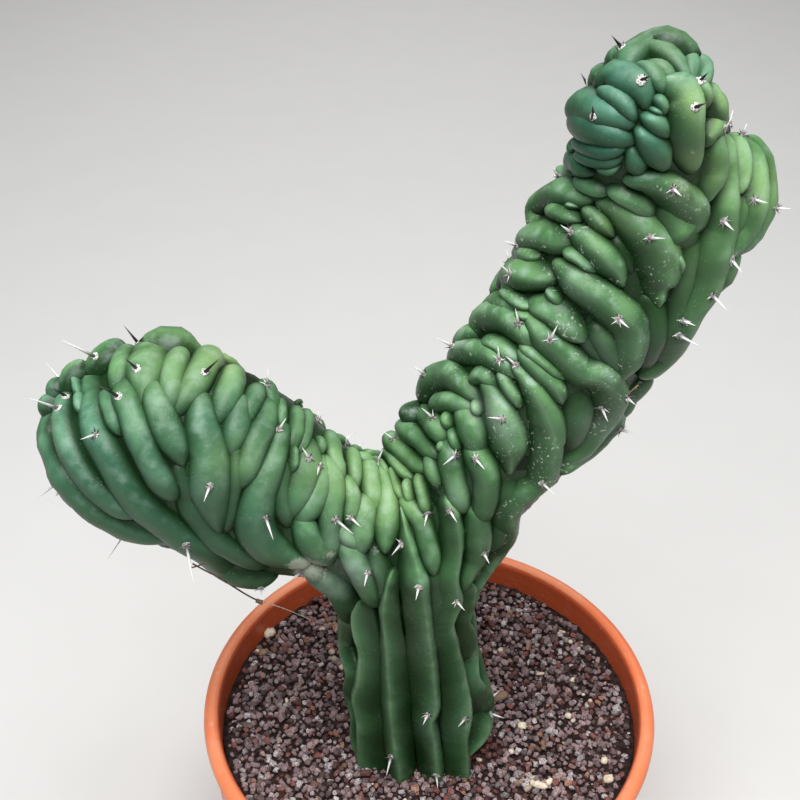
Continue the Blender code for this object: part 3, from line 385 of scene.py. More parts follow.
# The core: chains of round sections (x, y, z, radius in mm), and how much each chain is
# flattened from front to back.
CORE = [
    (1.0, [(-5, -5, 150, 27), (-5, -5, 176, 27)]),
    (0.85, [(-17, -14, 168, 22), (-18, -14, 190, 22), (-18, -13, 215, 22), (-21, -10, 245, 22),
            (-18, -8, 275, 23), (-12, -5, 300, 26)]),
    (0.85, [(8, -14, 168, 22), (8, -14, 190, 22), (4, -13, 215, 22), (-4, -10, 245, 22),
            (-7, -8, 275, 24), (-9, -5, 322, 28)]),
    (1.15, [(-9, -5, 322, 31), (-28, -5, 336, 24), (-45, -5, 344, 25), (-68, -5, 362, 27),
            (-90, -5, 374, 36), (-110, -5, 382, 42), (-128, -5, 387, 45), (-147, -7, 384, 37)]),
    (1.1, [(-9, -5, 322, 31), (-24, -5, 326, 30), (-55, -5, 340, 31), (-85, -5, 352, 37),
           (-115, -5, 368, 39), (-138, -5, 378, 37)]),
    (1.1, [(-9, -5, 322, 31), (16, -3, 362, 31), (38, 0, 400, 36), (54, 0, 431, 36),
           (73, 2, 465, 37), (90, 6, 495, 35), (88, -2, 530, 28), (81, -15, 559, 22)]),
    (1.0, [(73, 2, 465, 34), (75, 0, 497, 28)]),
    (1.2, [(92, 6, 476, 32), (106, 8, 498, 29), (110, 8, 512, 28)]),
]

# Lobes and ribs, as seen: width in mm (one, or several along the line), then the line.
LEFT_ARM = [
    ((13, 17, 17), (-183, 402), (-187, 386), (-184, 364), (-174, 346), (-158, 332), (-138, 325)),
    (13, (-176, 410), (-180, 391), (-178, 375), (-172, 358), (-163, 346), (-154, 339)),
    (6, (-169, 410), (-170, 400)),
    ((16, 18, 21), (-163, 409), (-164, 391), (-159, 372), (-151, 351), (-141, 336), (-131, 327),
     (-119, 316.5), (-109.5, 306), (-99, 298.5), (-90, 296)),
    (9, (-157, 411), (-154, 391)),
    (14, (-148, 416), (-146, 398), (-143, 380), (-138, 363), (-133, 351)),
    (15, (-134, 414), (-131, 394), (-126, 374)),
    (14, (-149, 438), (-157, 429), (-161, 420), (-163, 410)),
    (11, (-144, 436), (-148, 427), (-151, 415)),
    (11, (-168, 427), (-173.5, 419.5), (-176, 410)),
    (5, (-170, 421), (-169, 411)),
    (8.5, (-179, 419), (-181.5, 411)),
    (8, (-183, 409), (-188, 401)),
    ((18, 25, 26, 24, 19), (-114, 434), (-123, 437.5), (-131, 430), (-136, 420), (-138, 408)),
    (12.5, (-120, 434), (-125, 421), (-127, 405)),
    (15, (-105.5, 434), (-112, 422), (-124, 403)),
    ((14, 17.5, 22, 22, 12), (-113, 408), (-114, 391), (-112, 374), (-113, 355), (-111, 329)),
    (14, (-95.5, 423), (-99, 412), (-105, 398)),
    (11, (-86, 414), (-91, 398)),
    (8, (-83, 417), (-78.5, 402)),
    (15, (-94, 406), (-100, 381)),
    (14, (-81, 404), (-89, 382), (-97, 360)),
    (7.5, (-76, 406), (-75, 393)),
    (9.5, (-67.5, 401.5), (-70, 381)),
    (8.5, (-63, 400), (-67, 378)),
    ((10, 14, 20, 22, 20, 12), (-74, 391), (-81, 370), (-90, 349), (-92, 331), (-83, 315),
     (-68, 305)),
    (5, (-70, 380), (-71.5, 366)),
    (18, (-64, 379), (-67, 361), (-73, 341)),
    (15, (-58, 371), (-60, 351), (-69, 333)),
    (13, (-54, 370), (-51, 355), (-53, 336), (-55, 307)),
    (15, (-68, 334), (-64, 320), (-55, 307)),
    (5.5, (-58.4, 385), (-58, 376)),
    (10, (-52, 386), (-51, 375), (-47, 360)),
]
MIDDLE = [
    (9.5, (-44, 359), (-42, 347), (-43, 331)),
    (14, (-35, 345), (-37, 329), (-38, 314)),
    (9, (-48, 327), (-40, 316)),
    (8.5, (-42, 376), (-41, 366), (-40, 355)),
    (6.5, (-38.5, 372.5), (-33, 368)),
    (12.5, (-34, 368), (-32, 355), (-30, 343)),
    ((8, 10, 12, 16, 10), (-29, 367), (-24, 357), (-22, 345), (-23.5, 329), (-24, 314)),
    (5, (-35, 373), (-27, 371)),
    (4.5, (-32, 370), (-22, 360)),
    (7.5, (-25, 370), (-16, 351)),
    (6, (-19, 365), (-14, 347)),
    (7, (-24, 375), (-17, 369), (-10, 361)),
    (10.5, (-22, 384), (-13, 376), (-4, 367)),
    (10.5, (-15, 393), (-7, 386), (1, 376)),
    (9, (-1, 373), (3, 357)),
    (7, (-5.5, 362), (-4, 351), (-2.5, 339)),
    (5.6, (-11, 359), (-10, 345)),
    (11, (-13, 345), (-5, 333), (-2, 318), (1, 298)),
    (13.5, (-45, 315), (-38, 299), (-30, 276)),
    ((12, 16, 15, 12, 8), (-64, 300), (-55, 291), (-46, 281), (-39.5, 270), (-36, 258)),
    (13, (9, 381), (10.6, 366), (15.6, 343)),
    ((16, 12), (21, 380), (26.5, 366), (27, 351), (25, 334)),
    ((12, 15, 14.5, 10, 6), (22.6, 341), (23, 324), (22, 309), (18, 296), (15.6, 286)),
    (15.5, (16, 403), (19.5, 392), (22, 380)),
    (7, (10, 390), (13, 381)),
    (5, (6, 383), (5.6, 379)),
    (6, (8, 400), (9, 393)),
    (10, (1, 406), (9, 408), (18, 404)),
    (6, (21, 407.5), (22, 402)),
    (13, (-12.5, 401), (-4, 400), (3, 392), (6, 385)),
]
STEM = [
    ((13, 15, 15, 15, 16, 17, 17, 16.5, 16.5, 17, 17, 17), (-35, 272), (-34, 262), (-33, 249),
     (-31, 235), (-32, 214), (-34, 199), (-33, 187), (-32, 175), (-32, 161),
     (-32, 148), (-31, 134), (-31, 118)),
    ((7, 10, 13, 16, 17, 14, 14), (-20, 296), (-22, 272), (-20, 239), (-19, 199), (-17, 156),
     (-15, 125), (-15, 106)),
    ((4, 6, 9, 15, 14, 14, 15, 15, 12, 14, 15, 12, 12), (-15, 342), (-14, 327), (-12, 311),
     (-10, 294), (-8, 276), (-6, 250), (-4, 219), (-2, 193), (-3, 180), (-1, 165), (2, 138),
     (3, 120), (3, 104)),
    ((10, 12, 10, 12, 15, 11, 12, 14, 15, 16, 15, 13, 14, 14), (7, 347), (10, 327), (10, 311),
     (7, 294), (7, 276), (6, 258), (8, 239), (11, 219), (13, 205), (15, 186), (15, 172),
     (15.5, 161), (17, 136), (17, 112)),
    ((9, 9, 8, 13, 14, 12, 12, 16, 20, 19, 17, 12), (19, 287), (17, 272), (16, 258), (19, 243),
     (19.5, 232), (20.5, 219), (22, 209), (24, 199), (27, 187), (26.5, 176), (25.5, 165),
     (23, 149)),
    ((10, 10, 12, 9, 8, 9, 10, 8, 7, 8, 7), (-43, 262), (-44.5, 247), (-45, 239), (-43, 227),
     (-41.5, 217), (-42.5, 207), (-43, 199), (-40.5, 187), (-39.5, 178), (-40, 162),
     (-38, 148)),
]
RIGHT_ARM = [
    ((9, 15.4, 18.8, 19.8, 10), (25, 418), (31, 407), (35, 394), (37, 380), (38, 367)),
    (15, (-4, 413), (1.4, 420), (10, 421), (19, 412)),
    (8.5, (19.6, 422), (24, 424.5), (29, 420)),
    (8, (32, 424), (36, 416), (40.5, 407)),
    (12, (9, 431), (16, 435.5), (25, 434), (32, 430), (36, 425)),
    (8.5, (25, 442), (32, 440), (39, 433)),
    (14, (20, 447), (24, 454), (32, 453.5), (41, 447.5), (44, 442)),
    (12, (19, 446), (11, 439)),
    (5.5, (39, 458), (46, 456)),
    (12.5, (46, 462), (54.5, 459), (63, 450), (67, 446)),
    ((12, 16, 17, 18, 18, 17, 14), (44.5, 454), (52.5, 443), (61, 434), (68, 427), (76, 426),
     (81, 417), (82, 410), (80, 402), (76, 394), (71, 383), (64, 374)),
    (7, (42, 439), (50, 432), (60, 423)),
    (10, (42, 435), (49.5, 426), (56, 419), (60, 410)),
    ((5, 11, 16, 16, 16, 15, 14, 12, 10, 10), (38, 430), (44, 420), (49, 412), (53, 402),
     (55, 392), (55, 380), (54, 368), (51, 361), (41, 351), (37, 338), (37, 324), (34, 312),
     (27, 299), (22, 287), (18, 272)),
    (11, (28, 465), (36, 461)),
    (6, (32, 469), (39.5, 463), (45, 461)),
    (6, (52, 469), (56, 463)),
    ((16, 18, 13), (50.7, 477), (42.7, 479), (34.9, 477), (31, 473)),
    (10, (45, 487), (37, 489)),
    (15, (56.5, 495), (47, 498), (39.7, 495)),
    ((13, 15, 14), (65, 516), (54, 518), (46.5, 512), (44.5, 505), (44, 499)),
    (8, (50, 509.4), (54.8, 507.6), (60.8, 505)),
    (3.5, (58, 511), (62, 511)),
    (9, (65, 508), (69.8, 504), (74.8, 499)),
    ((10, 13, 14, 13.5, 9), (60.7, 499), (66.3, 494), (73.5, 486.5), (79.5, 480), (82, 475)),
    (6, (58.7, 490), (64.4, 486.5), (70, 481)),
    ((10, 15, 16.5, 17, 18, 18, 17, 15, 8), (54.6, 482), (62, 475), (71.3, 468), (80, 460),
     (87, 453), (88.5, 445), (88.5, 439), (88, 431), (85.6, 423)),
    ((10, 15, 19, 22, 21.5, 19, 9), (71.6, 512), (79, 509), (87.5, 501), (94, 491), (97.6, 480),
     (98, 471), (100, 464.6)),
    (6, (104, 489), (107, 480)),
    ((6, 8.5, 9.5, 8), (74.2, 521), (81, 518), (87, 514), (92, 510)),
    (7, (61, 524.5), (66.8, 522), (71.8, 519)),
    ((8, 12, 15, 18, 19, 17, 8), (81, 524.5), (88.6, 524), (96.6, 520.5), (103, 514),
     (106.6, 507), (107.7, 499), (109.6, 494)),
    ((10, 12, 12, 11, 10, 9), (86, 403), (85.5, 396.5), (81, 387.5), (74, 379), (67, 372),
     (62, 367)),
    (14, (97.7, 422.7), (93.3, 415.4), (90, 409)),
]
FOLD = [
    ((8, 12, 14, 14, 9), (112.2, 543), (113.2, 536), (113.4, 529), (113.2, 522), (113, 516)),
    ((6, 9, 10, 11, 13, 17, 19, 20, 19, 17, 16, 17, 17, 16, 12), (116.8, 542), (118.9, 534.5),
     (120.4, 527), (121.3, 518.4), (121.7, 510), (120, 502), (117.6, 494), (116.8, 486.5),
     (116.7, 478), (114.8, 469.4), (112.2, 460.6), (108, 450), (106, 441), (102.3, 433),
     (98.5, 426)),
    ((7, 9, 10, 9, 5), (120.2, 541.4), (123.8, 535), (125.8, 529), (126.4, 522), (125.7, 517.4)),
    ((7, 9.5, 10.5, 12, 14, 15, 15, 13, 9), (124.6, 541), (129, 536), (131.4, 530),
     (132.7, 524), (133, 518), (132.5, 510.5), (130.4, 502.5), (127.4, 495), (123.5, 487)),
    ((8, 11, 12, 12.5, 13, 13.5, 14, 12, 9), (128.8, 541), (132.5, 536), (135, 531),
     (136.8, 524), (137.8, 518), (137.5, 510.5), (135.5, 503), (132, 496), (128, 490)),
    ((10, 12, 12, 9), (129.7, 488), (127, 481.6), (125.3, 476), (123.5, 470)),
]
HEAD = [
    ((14, 16.5, 14, 11), (56.5, 555), (62.5, 556), (70.2, 553), (77, 549.5)),
    ((13, 14, 12, 10), (57.5, 550), (63, 548), (71, 545), (78.6, 542.4)),
    ((7, 8.5, 8, 6), (66.3, 562.5), (72, 560), (77, 555.7), (80, 551.6)),
    ((10, 14, 15, 13, 9), (65.5, 566), (69.5, 568), (75.8, 566.5), (81.6, 562.5), (84.2, 557)),
    ((6, 8, 8, 6), (79, 571.5), (84, 570), (87.3, 566), (89, 562)),
    (8, (83.6, 572.5), (89, 570), (92, 566.5)),
    ((7, 10, 10.5, 9.5, 6), (78, 578.4), (83.5, 578.4), (89.6, 576), (94.6, 572), (97.8, 567)),
    (9, (84.3, 581.5), (90, 581.5), (95, 578), (98.5, 573), (100, 568)),
    ((12, 14, 14, 13, 11), (75, 572), (79, 577.5), (84.5, 581), (90, 582), (95, 579),
     (98.5, 573.5), (100, 568)),
    (7.5, (101.5, 575), (103.8, 571), (104, 567), (103.5, 564)),
    (5, (94, 567), (98.7, 565)),
    ((9, 14, 15, 12, 8), (108, 563), (110, 557.5), (110.5, 551.6), (110.5, 546), (110, 541)),
    (7, (102.6, 565), (105.2, 561), (107, 557)),
    (6, (88.2, 559), (90.6, 555.7), (91, 553.6)),
    ((7, 9, 7.5), (84.4, 552), (89, 549.5), (93.2, 545)),
    (4, (86, 555), (91, 553)),
    ((7, 11, 12, 9), (82.8, 546), (87.4, 541), (91.4, 536), (94, 531.6)),
    ((7, 9.5, 8), (81, 537.4), (83, 533), (85.4, 529.5)),
    ((6, 8, 8, 6), (59.6, 541.7), (65, 539), (71.7, 538), (77, 539)),
    ((5, 7.5, 7.5, 6), (61, 536.7), (66, 534), (72, 533.8), (76.7, 535)),
    ((5, 6, 5), (69, 531), (73, 530), (76.4, 531.3)),
    ((10, 10, 8), (57.5, 533), (61, 531), (65, 528)),
    (5, (56.7, 541), (59, 539)),
]
HEAD_FOLD = [
    ((12, 15, 15, 14, 13, 11, 10.5), (91, 564.5), (96, 561), (98.5, 554), (100, 547),
     (101.5, 540.5), (104, 534), (105.5, 529.5)),
]
LOBES = LEFT_ARM + MIDDLE + STEM + RIGHT_ARM + FOLD + HEAD + HEAD_FOLD

# Areoles, as seen: the felt spot, then the tip of its long spine.
AREOLES = [
    ((-182, 404), (-195, 410)), ((-164, 437), (-174, 443)), ((-152, 411), (-160, 417)),
    ((-166, 388), (-174, 385)), ((-141, 427), (-146, 433)), ((-177, 411), (-183, 416)),
    ((-194, 357), (-203, 346)), ((-165, 319), (-172, 305)), ((-129, 315), (-128, 289)),
    ((-92, 284), (-92, 276)), ((-109, 425), (-101, 433)), ((-113, 355), (-117, 345)),
    ((-86, 334), (-83, 319)), ((-80, 418), (-79, 427)), ((-76, 391), (-72, 398)),
    ((-62, 373), (-65, 380)), ((-57, 368), (-61, 362)), ((-50, 333), (-41, 323)),
    ((-42, 334), (-37, 328)), ((-28, 371), (-25, 379)), ((-43, 381), (-46, 387)),
    ((-20, 385), (-25, 390)), ((-0.6, 398), (-6, 404)), ((-16, 316), (-21, 308)),
    ((-2.5, 337), (-4, 328)), ((-34, 295), (-36, 285)), ((-69, 296), (-77, 289)),
    ((-6.4, 284.5), (-8, 275)), ((11, 375), (5, 369)), ((21, 373), (26, 366)),
    ((33, 397.5), (26, 398.5)), ((9, 339), (13, 331)), ((28, 309), (31, 302)),
    ((14.4, 274), (19, 267)), ((55.6, 357), (62, 350)), ((-5, 424), (-10, 428)),
    ((8, 439.5), (0.4, 444)), ((30, 432), (29, 440)), ((38, 452), (36, 460)),
    ((53, 443), (56, 451)), ((38, 429), (33, 434)), ((32.5, 478), (28, 483)),
    ((35, 492), (29, 494.7)), ((58, 499), (53.4, 502.3)), ((51, 525), (47.5, 530)),
    ((84, 454), (89.2, 449.5)), ((93, 496), (100, 495.8)), ((100.4, 519.4), (104.5, 516)),
    ((124.4, 504), (129.6, 499.5)), ((136, 514.4), (142, 512.8)), ((146, 510.2), (152.5, 510.2)),
    ((118.3, 547), (120, 551)), ((125.8, 544), (127, 549)), ((131, 485), (136.7, 478.4)),
    ((125, 466.8), (132.8, 459.2)), ((112.5, 445.6), (122.4, 440)),
    ((113.5, 453.4), (119.5, 450.8)),
    ((81, 404), (84.8, 395.7)), ((91.5, 391), (99.4, 388)), ((92.5, 410), (97.4, 405.6)),
    ((62.9, 552), (62.4, 557)), ((81.3, 567.5), (85.1, 569.5)), ((71.5, 581), (67.1, 585.8)),
    ((104.6, 556), (109.4, 558)), ((105.1, 567.3), (108, 571)), ((-44, 141), (-52, 127.5)),
    ((-22, 142), (-25, 124.5)), ((0, 181), (-3, 172)), ((6, 124), (7, 112)),
    ((22, 177), (18, 170)), ((37, 182), (45, 178)),
]

# Broad low flanks between the lobes, as seen: how far in mm their ridge lies under the others,
# their width, then the line.
FLANKS = [
    (3.0, 12, (74, 449), (81, 438), (86, 428)),
    (4.0, 15, (95, 466), (98, 447), (95, 430)),
    (4.0, 18, (67, 417), (67, 401), (64, 382)),
    (4.0, 10, (68, 447), (76, 437), (82, 426)),
    (4.0, 8, (78, 496), (86, 481)),
    (1.5, (14, 20, 16), (97, 510), (103, 503), (109, 495)),
    (3.0, 8, (65, 516), (72, 517), (81, 517)),
    (3.5, 13, (109, 497), (109, 481), (107, 460), (103, 443)),
    (3.0, 14, (129, 516), (127, 506), (123, 494)),
    (2.0, 13, (40, 481), (36, 473), (36, 465)),
    (3.0, 12, (92, 416), (89, 403)),
    (3.0, 10, (53, 413), (56, 396), (59, 383)),
    (3.0, 14, (-126, 350), (-116, 328), (-102, 314), (-90, 305)),
    (3.5, 9, (-128, 371), (-125, 354), (-121, 335)),
    (3.0, 8, (-99, 384), (-100, 364), (-104, 342), (-107, 328)),
    (3.0, 10, (-75, 371), (-78, 350), (-75, 331)),
    (3.0, 10, (-147, 338), (-139, 328), (-133, 320)),
    (2.5, 15, (-60, 302), (-48, 283), (-42, 265)),
    (3.0, 11, (-30, 311), (-25, 294), (-24, 277)),
    (3.5, 12, (1, 302), (2, 271), (4, 239)),
    (3.5, 12, (20, 302), (20, 287), (17, 267)),
    (3.0, 14, (38, 361), (36, 338), (28, 316)),
    (3.0, 9, (-15, 341), (-11, 323), (-7, 302)),
]

# How the lobes of each group are shaped: the power of their section (2 is round, more is squarer,
# less has a keel), how full they are drawn, and how far the keel of all or of each leans to the
# right. Then how pale the keel is, partly as a painted highlight, and how much white bloom lies
# on the skin.
GROUPS = {
    "left_arm": (LEFT_ARM, 2.1, 1.05, 0.0, 0.12, 0.35),
    "crotch": (MIDDLE, 2.1, 1.05, 0.0, 0.15, 0.6),
    "stem_ribs": (STEM, 1.45, 1.08, (-0.5, -0.25, 0.6, 0.65, 0.6, -0.5), 0.5, 0.3),
    "right_arm": (RIGHT_ARM, 1.9, 1.06, 0.25, 0.35, 1.0),
    "fold_ribs": (FOLD, 1.8, 1.12, 0.4, 0.5, 0.35),
    "head": (HEAD, 2.2, 1.05, 0.0, 0.1, 0.2),
    "head_fold": (HEAD_FOLD, 1.8, 1.05, 0.5, 0.4, 0.3),
}

FLANK_LOOK = (2.0, 1.15, 0.0, 0.0, 0.3)
REAR_LOOK = (2.1, 1.1, 0.0, 0.2, 0.4)

# Zones of colour, as seen: across, up, radius in mm, strength.
BLUE_ZONES = [
    (-182, 372, 30, 0.6), (-150, 332, 38, 0.5), (-100, 320, 32, 0.45), (-106, 398, 18, 0.4),
    (-176, 408, 16, 0.5), (68, 548, 22, 1.0), (76, 566, 11, 0.95), (103, 570, 11, 0.9),
    (92, 536, 12, 0.6), (84, 580, 10, 0.2), (0, 200, 60, 0.25), (-70, 345, 25, 0.3),
    (80, 560, 10, 0.7), (66, 533, 12, 0.4), (-125, 385, 45, 0.3),
]
# Young yellow green skin, shown only where it faces up, so partly a painted highlight.
YOUNG_AND_LIT_ZONES = [
    (-22, 350, 20, 0.6), (-97, 432, 10, 0.8), (-120, 430, 22, 0.4), (-48, 368, 16, 0.45),
    (-64, 350, 22, 0.15), (113, 555, 11, 0.9), (104, 531, 7, 1.0), (128, 522, 20, 0.25),
    (90, 574, 15, 0.2), (75, 502, 9, 0.5), (24, 404, 8, 0.5),
    (112, 484, 22, 0.2), (-100, 372, 14, 0.3), (140, 520, 10, 0.5), (101, 560, 7, 0.6),
    (112, 526, 9, 0.7),
]
# Old dull skin, and painted shade on flanks and arms that lie in shade.
OLD_AND_SHADE_ZONES = [
    (-12, 190, 90, 0.9), (-30, 262, 20, 0.3), (76, 384, 18, 0.2), (104, 425, 22, 0.5),
    (97, 447, 13, 0.7), (112, 460, 16, 0.4), (26, 290, 26, 0.3), (86, 480, 12, 0.25),
    (-180, 350, 22, 0.6), (-150, 330, 24, 0.7), (-120, 316, 22, 0.7), (-95, 305, 18, 0.6),
    (-118, 345, 16, 0.6), (-160, 365, 14, 0.5), (-88, 325, 12, 0.3), (-125, 375, 60, 0.4),
    (-62, 350, 36, 0.2), (86, 579, 18, 0.7), (99, 549, 12, 0.6), (-46, 225, 14, 0.5),
    (-110, 418, 38, 0.4), (-75, 385, 30, 0.25), (46, 425, 20, 0.25), (88, 590, 22, 0.4),
]
# Where the white bloom lies thick, with a painted sheen in places, as seen.
THICK_BLOOM_AND_SHEEN_ZONES = [
    (-38, 299, 10, 1.0), (-56, 290, 13, 0.9), (-48, 322, 9, 0.7), (-113, 352, 11, 0.3),
    (24, 404, 9, 0.8), (36, 392, 8, 0.5), (14, 350, 9, 0.4), (-138, 368, 10, 0.2),
    (-82, 366, 9, 0.2), (-6, 240, 12, 0.2), (4, 165, 14, 0.3), (82, 397, 10, 0.4),
    (62, 470, 12, 0.3), (75, 436, 12, 0.3),
]
# Grey corky scurf and white scabs, as seen.
SCURF_ZONES = [
    (-62, 297, 13, 0.9), (-72, 300, 7, 0.8), (-30, 312, 7, 0.7), (-34, 297, 7, 0.6),
    (-38, 286, 6, 0.5), (88, 505, 3.2, 0.9), (82, 508, 3.0, 0.8), (71, 503, 3.5, 0.7),
    (100, 524, 2.6, 0.9), (104, 521, 2.6, 0.9), (107, 516, 2.4, 1.0), (109, 510, 2.4, 0.9),
    (109.5, 504, 2.2, 0.8), (101, 517, 3.2, 0.9), (97, 511, 3.0, 0.5), (106.2, 536, 2.4, 1.0),
    (113, 543, 3.4, 0.8), (110, 548, 2.4, 0.6), (22, 402, 6, 0.4), (-57, 318, 4, 0.7),
    (-53, 309, 3.5, 0.8), (48, 512, 4, 0.2), (61, 450, 6, 0.3), (42, 478, 5, 0.3),
    (23.8, 209.4, 1.6, 1.0), (58, 395.5, 1.6, 1.0), (-113, 299, 1.2, 0.9),
]


def core_distance(points):
    """Signed distance in mm from points (n, 3) to the core, and the core's middle there."""
    best = None
    middle = np.zeros_like(points)
    nearest = np.full(len(points), FAR)
    for flatten, chain in CORE:
        here = np.full(len(points), FAR)
        for start, end in zip(chain, chain[1:]):
            a, b = np.array(start[:3], float), np.array(end[:3], float)
            along = np.clip((points - a) @ (b - a) / ((b - a) @ (b - a)), 0, 1)[:, None]
            centre = a + along * (b - a)
            away = points - centre
            away[:, 1] *= flatten
            radius = start[3] + along[:, 0] * (end[3] - start[3])
            distance = np.linalg.norm(away, axis=1) - radius
            closer = distance < nearest
            middle[closer] = centre[closer]
            nearest = np.minimum(nearest, distance)
            here = np.minimum(here, distance)
        if best is None:
            best = here
        else:
            mix = np.clip(0.5 + 0.5 * (here - best) / BLEND, 0, 1)
            best = here + (best - here) * mix - BLEND * mix * (1 - mix)
    return best, middle


def unit_rows(vectors):
    """The same vectors (n, 3), each of length 1."""
    return vectors / np.linalg.norm(vectors, axis=1, keepdims=True)


def core_normal(points):
    """The way out of the core at these points."""
    slopes = []
    for axis in np.eye(3) * SLOPE_STEP:
        slopes.append(core_distance(points + axis)[0] - core_distance(points - axis)[0])
    return unit_rows(np.stack(slopes, axis=1))


def march(start, heading, height):
    """Walks each point along its heading to this height over the core, or to where it comes
    nearest to it."""
    points = start.copy()
    nearest = points.copy()
    least = np.full(len(points), FAR)
    moving = np.arange(len(points))
    for _ in range(MARCH_STEPS):
        over = core_distance(points[moving])[0] - height[moving]
        closer = over < least[moving]
        nearest[moving[closer]] = points[moving[closer]]
        least[moving[closer]] = over[closer]
        apart = over > NEAR_ENOUGH
        moving, over = moving[apart], over[apart]
        if not len(moving):
            break
        points[moving] += heading[moving] * np.clip(over * STRIDE, *STRIDE_LIMITS)[:, None]
    return nearest


def ridge_centre_height(widths):
    """How far over the core a lobe's centre line lies, so that its ridge stands RIDGE_HEIGHT
    proud."""
    return RIDGE_HEIGHT - np.maximum(widths / 2, LEAST_HALF_DEPTH)


def seat(seen, height):
    """Lays points (across, up) as seen from SIGHT this high over the core, in mm."""
    target = np.stack([seen[:, 0], np.zeros(len(seen)), seen[:, 1]], axis=1)
    heading = unit_rows(target - np.array(SIGHT))
    return march(target - heading * APPROACH, heading, height)


def spread(values, count):
    """A width, or several, laid evenly over this many points."""
    values = np.atleast_1d(np.array(values, float))
    if len(values) == 1:
        return np.full(count, values[0])
    return np.interp(np.linspace(0, 1, count), np.linspace(0, 1, len(values)), values)


def parted(values, lengths):
    """Cuts one long array into arrays of these lengths."""
    return np.split(values, np.cumsum(lengths)[:-1])


def facing(points):
    """Over zero where the core faces SIGHT."""
    to_eye = unit_rows(np.array(SIGHT) - points)
    return (core_normal(points) * to_eye).sum(axis=1)


def mirrored(points):
    """The same points on the other flank of the core."""
    middle = core_distance(points)[1]
    turned_over = points.copy()
    turned_over[:, 1] = 2 * middle[:, 1] - points[:, 1]
    return turned_over


def out_of_sight(lobes, limit):
    """The stretch of each lobe where the core faces SIGHT by less than this limit."""
    kept = []
    for points, widths in lobes:
        hidden = np.flatnonzero(facing(points) < limit)
        if len(hidden) > 1:
            stretch = slice(hidden[0], hidden[-1] + 1)
            kept.append((points[stretch], widths[stretch]))
    return kept


def rear_lobes(front):
    """The hidden flank grows the same way: the front lobes, turned over and shifted a little,
    as far as they lie out of sight."""
    draw = random.Random(REAR_SEED)
    lobes = []
    for points, widths in front:
        shift = np.array([draw.uniform(-1, 1), 0, draw.uniform(-1, 1)]) * REAR_JITTER
        swell = draw.uniform(*REAR_SWELL)
        lobes.append((mirrored(points) + shift, widths * swell))
    return out_of_sight(lobes, REAR_FACING)


def laid_round(middle, out, width, sink):
    """A rib on the core that runs where these directions point, as seen from its middle."""
    end_width = RIB_END_SHARE * width
    widths = spread((end_width, width, width, end_width), len(out))
    height = ridge_centre_height(widths) - sink
    return march(np.array(middle) + out * APPROACH, -out, height), widths


def under_lobes():
    """Ribs that run across the underside of the arms and the head, from flank to flank."""
    draw = random.Random(UNDER_SEED)
    lobes = []
    for _, chain in CORE[STEM_CHAINS:]:
        for start, end in zip(chain, chain[1:]):
            a, b = np.array(start[:3], float), np.array(end[:3], float)
            axis = (b - a) / np.linalg.norm(b - a)
            down = np.array([0, 0, -1.0]) + axis * axis[2]
            down /= np.linalg.norm(down)
            side = np.cross(axis, down)
            count = max(1, round(np.linalg.norm(b - a) / UNDER_RIB_STEP))
            for i in range(count):
                middle = a + (b - a) * (i + 0.5) / count
                reach = UNDER_RIB_REACH * draw.uniform(*UNDER_RIB_REACHES)
                turns = np.radians(np.linspace(-reach, reach, RIB_POINTS))[:, None]
                slant = axis * draw.uniform(-RIB_SLANT, RIB_SLANT)
                out = unit_rows(np.cos(turns) * down + np.sin(turns) * (side + slant))
                width = UNDER_RIB_WIDTH * draw.uniform(*RIB_WIDTH_RANGE)
                lobes.append(laid_round(middle, out, width, UNDER_RIB_SINK))
    return lobes


def side_lobes():
    """Upright ribs on the stem's narrow sides."""
    heights = np.linspace(*SIDE_RIB_ENDS, RIB_POINTS)
    middle = np.array([(*STEM_AXIS, height) for height in heights])
    lobes = []
    for side in (-1, 1):
        for turn in np.radians(SIDE_RIB_TURNS):
            out = np.tile([side * math.cos(turn), math.sin(turn), 0.0], (RIB_POINTS, 1))
            lobes.append(laid_round(middle, out, SIDE_RIB_WIDTH, SIDE_RIB_SINK))
    return lobes


def nape_lobes():
    """Ribs across the back of the head."""
    turns = np.radians(np.linspace(*NAPE_TURNS, RIB_POINTS))
    out = np.stack([np.sin(turns), np.cos(turns), np.zeros(RIB_POINTS)], axis=1)
    return [laid_round(middle, out, NAPE_RIB_WIDTH, NAPE_RIB_SINK) for middle in NAPE]


def tip_lobes():
    """Ribs that run from the crest over the end of the left arm to its underside."""
    rise = np.radians(np.linspace(*TIP_RIB_ENDS, RIB_POINTS))
    lobes = []
    for turn in np.radians(TIP_RIB_TURNS):
        out = np.stack([-np.cos(rise) * np.cos(turn), np.cos(rise) * np.sin(turn),
                        np.sin(rise)], axis=1)
        lobes.append(laid_round(TIP_CENTRE, out, TIP_RIB_WIDTH, TIP_RIB_SINK))
    return lobes


def smooth_line(points, widths):
    """Close points on a smooth curve through these points, with the width and the length run at
    each."""
    padded = np.concatenate([[2 * points[0] - points[1]], points, [2 * points[-1] - points[-2]]])
    fine, fine_widths = [], []
    for i in range(len(points) - 1):
        p0, p1, p2, p3 = padded[i:i + 4]
        for t in np.linspace(0, 1, CURVE_STEPS, endpoint=False):
            fine.append(0.5 * (2 * p1 + (p2 - p0) * t + (2 * p0 - 5 * p1 + 4 * p2 - p3) * t**2
                               + (3 * p1 - p0 - 3 * p2 + p3) * t**3))
            fine_widths.append(widths[i] + (widths[i + 1] - widths[i]) * t)
    fine = np.array(fine + [points[-1]])
    fine_widths = np.array(fine_widths + [widths[-1]])
    first = fine[0] - fine[1]
    last = fine[-1] - fine[-2]
    head = fine[0] + first / np.linalg.norm(first) * END_REACH * widths[0]
    tail = fine[-1] + last / np.linalg.norm(last) * END_REACH * widths[-1]
    fine = np.concatenate([[head], fine, [tail]])
    fine_widths = np.concatenate([widths[:1], fine_widths, widths[-1:]])
    run = np.concatenate([[0], np.cumsum(np.linalg.norm(np.diff(fine, axis=0), axis=1))])
    return fine, fine_widths, run


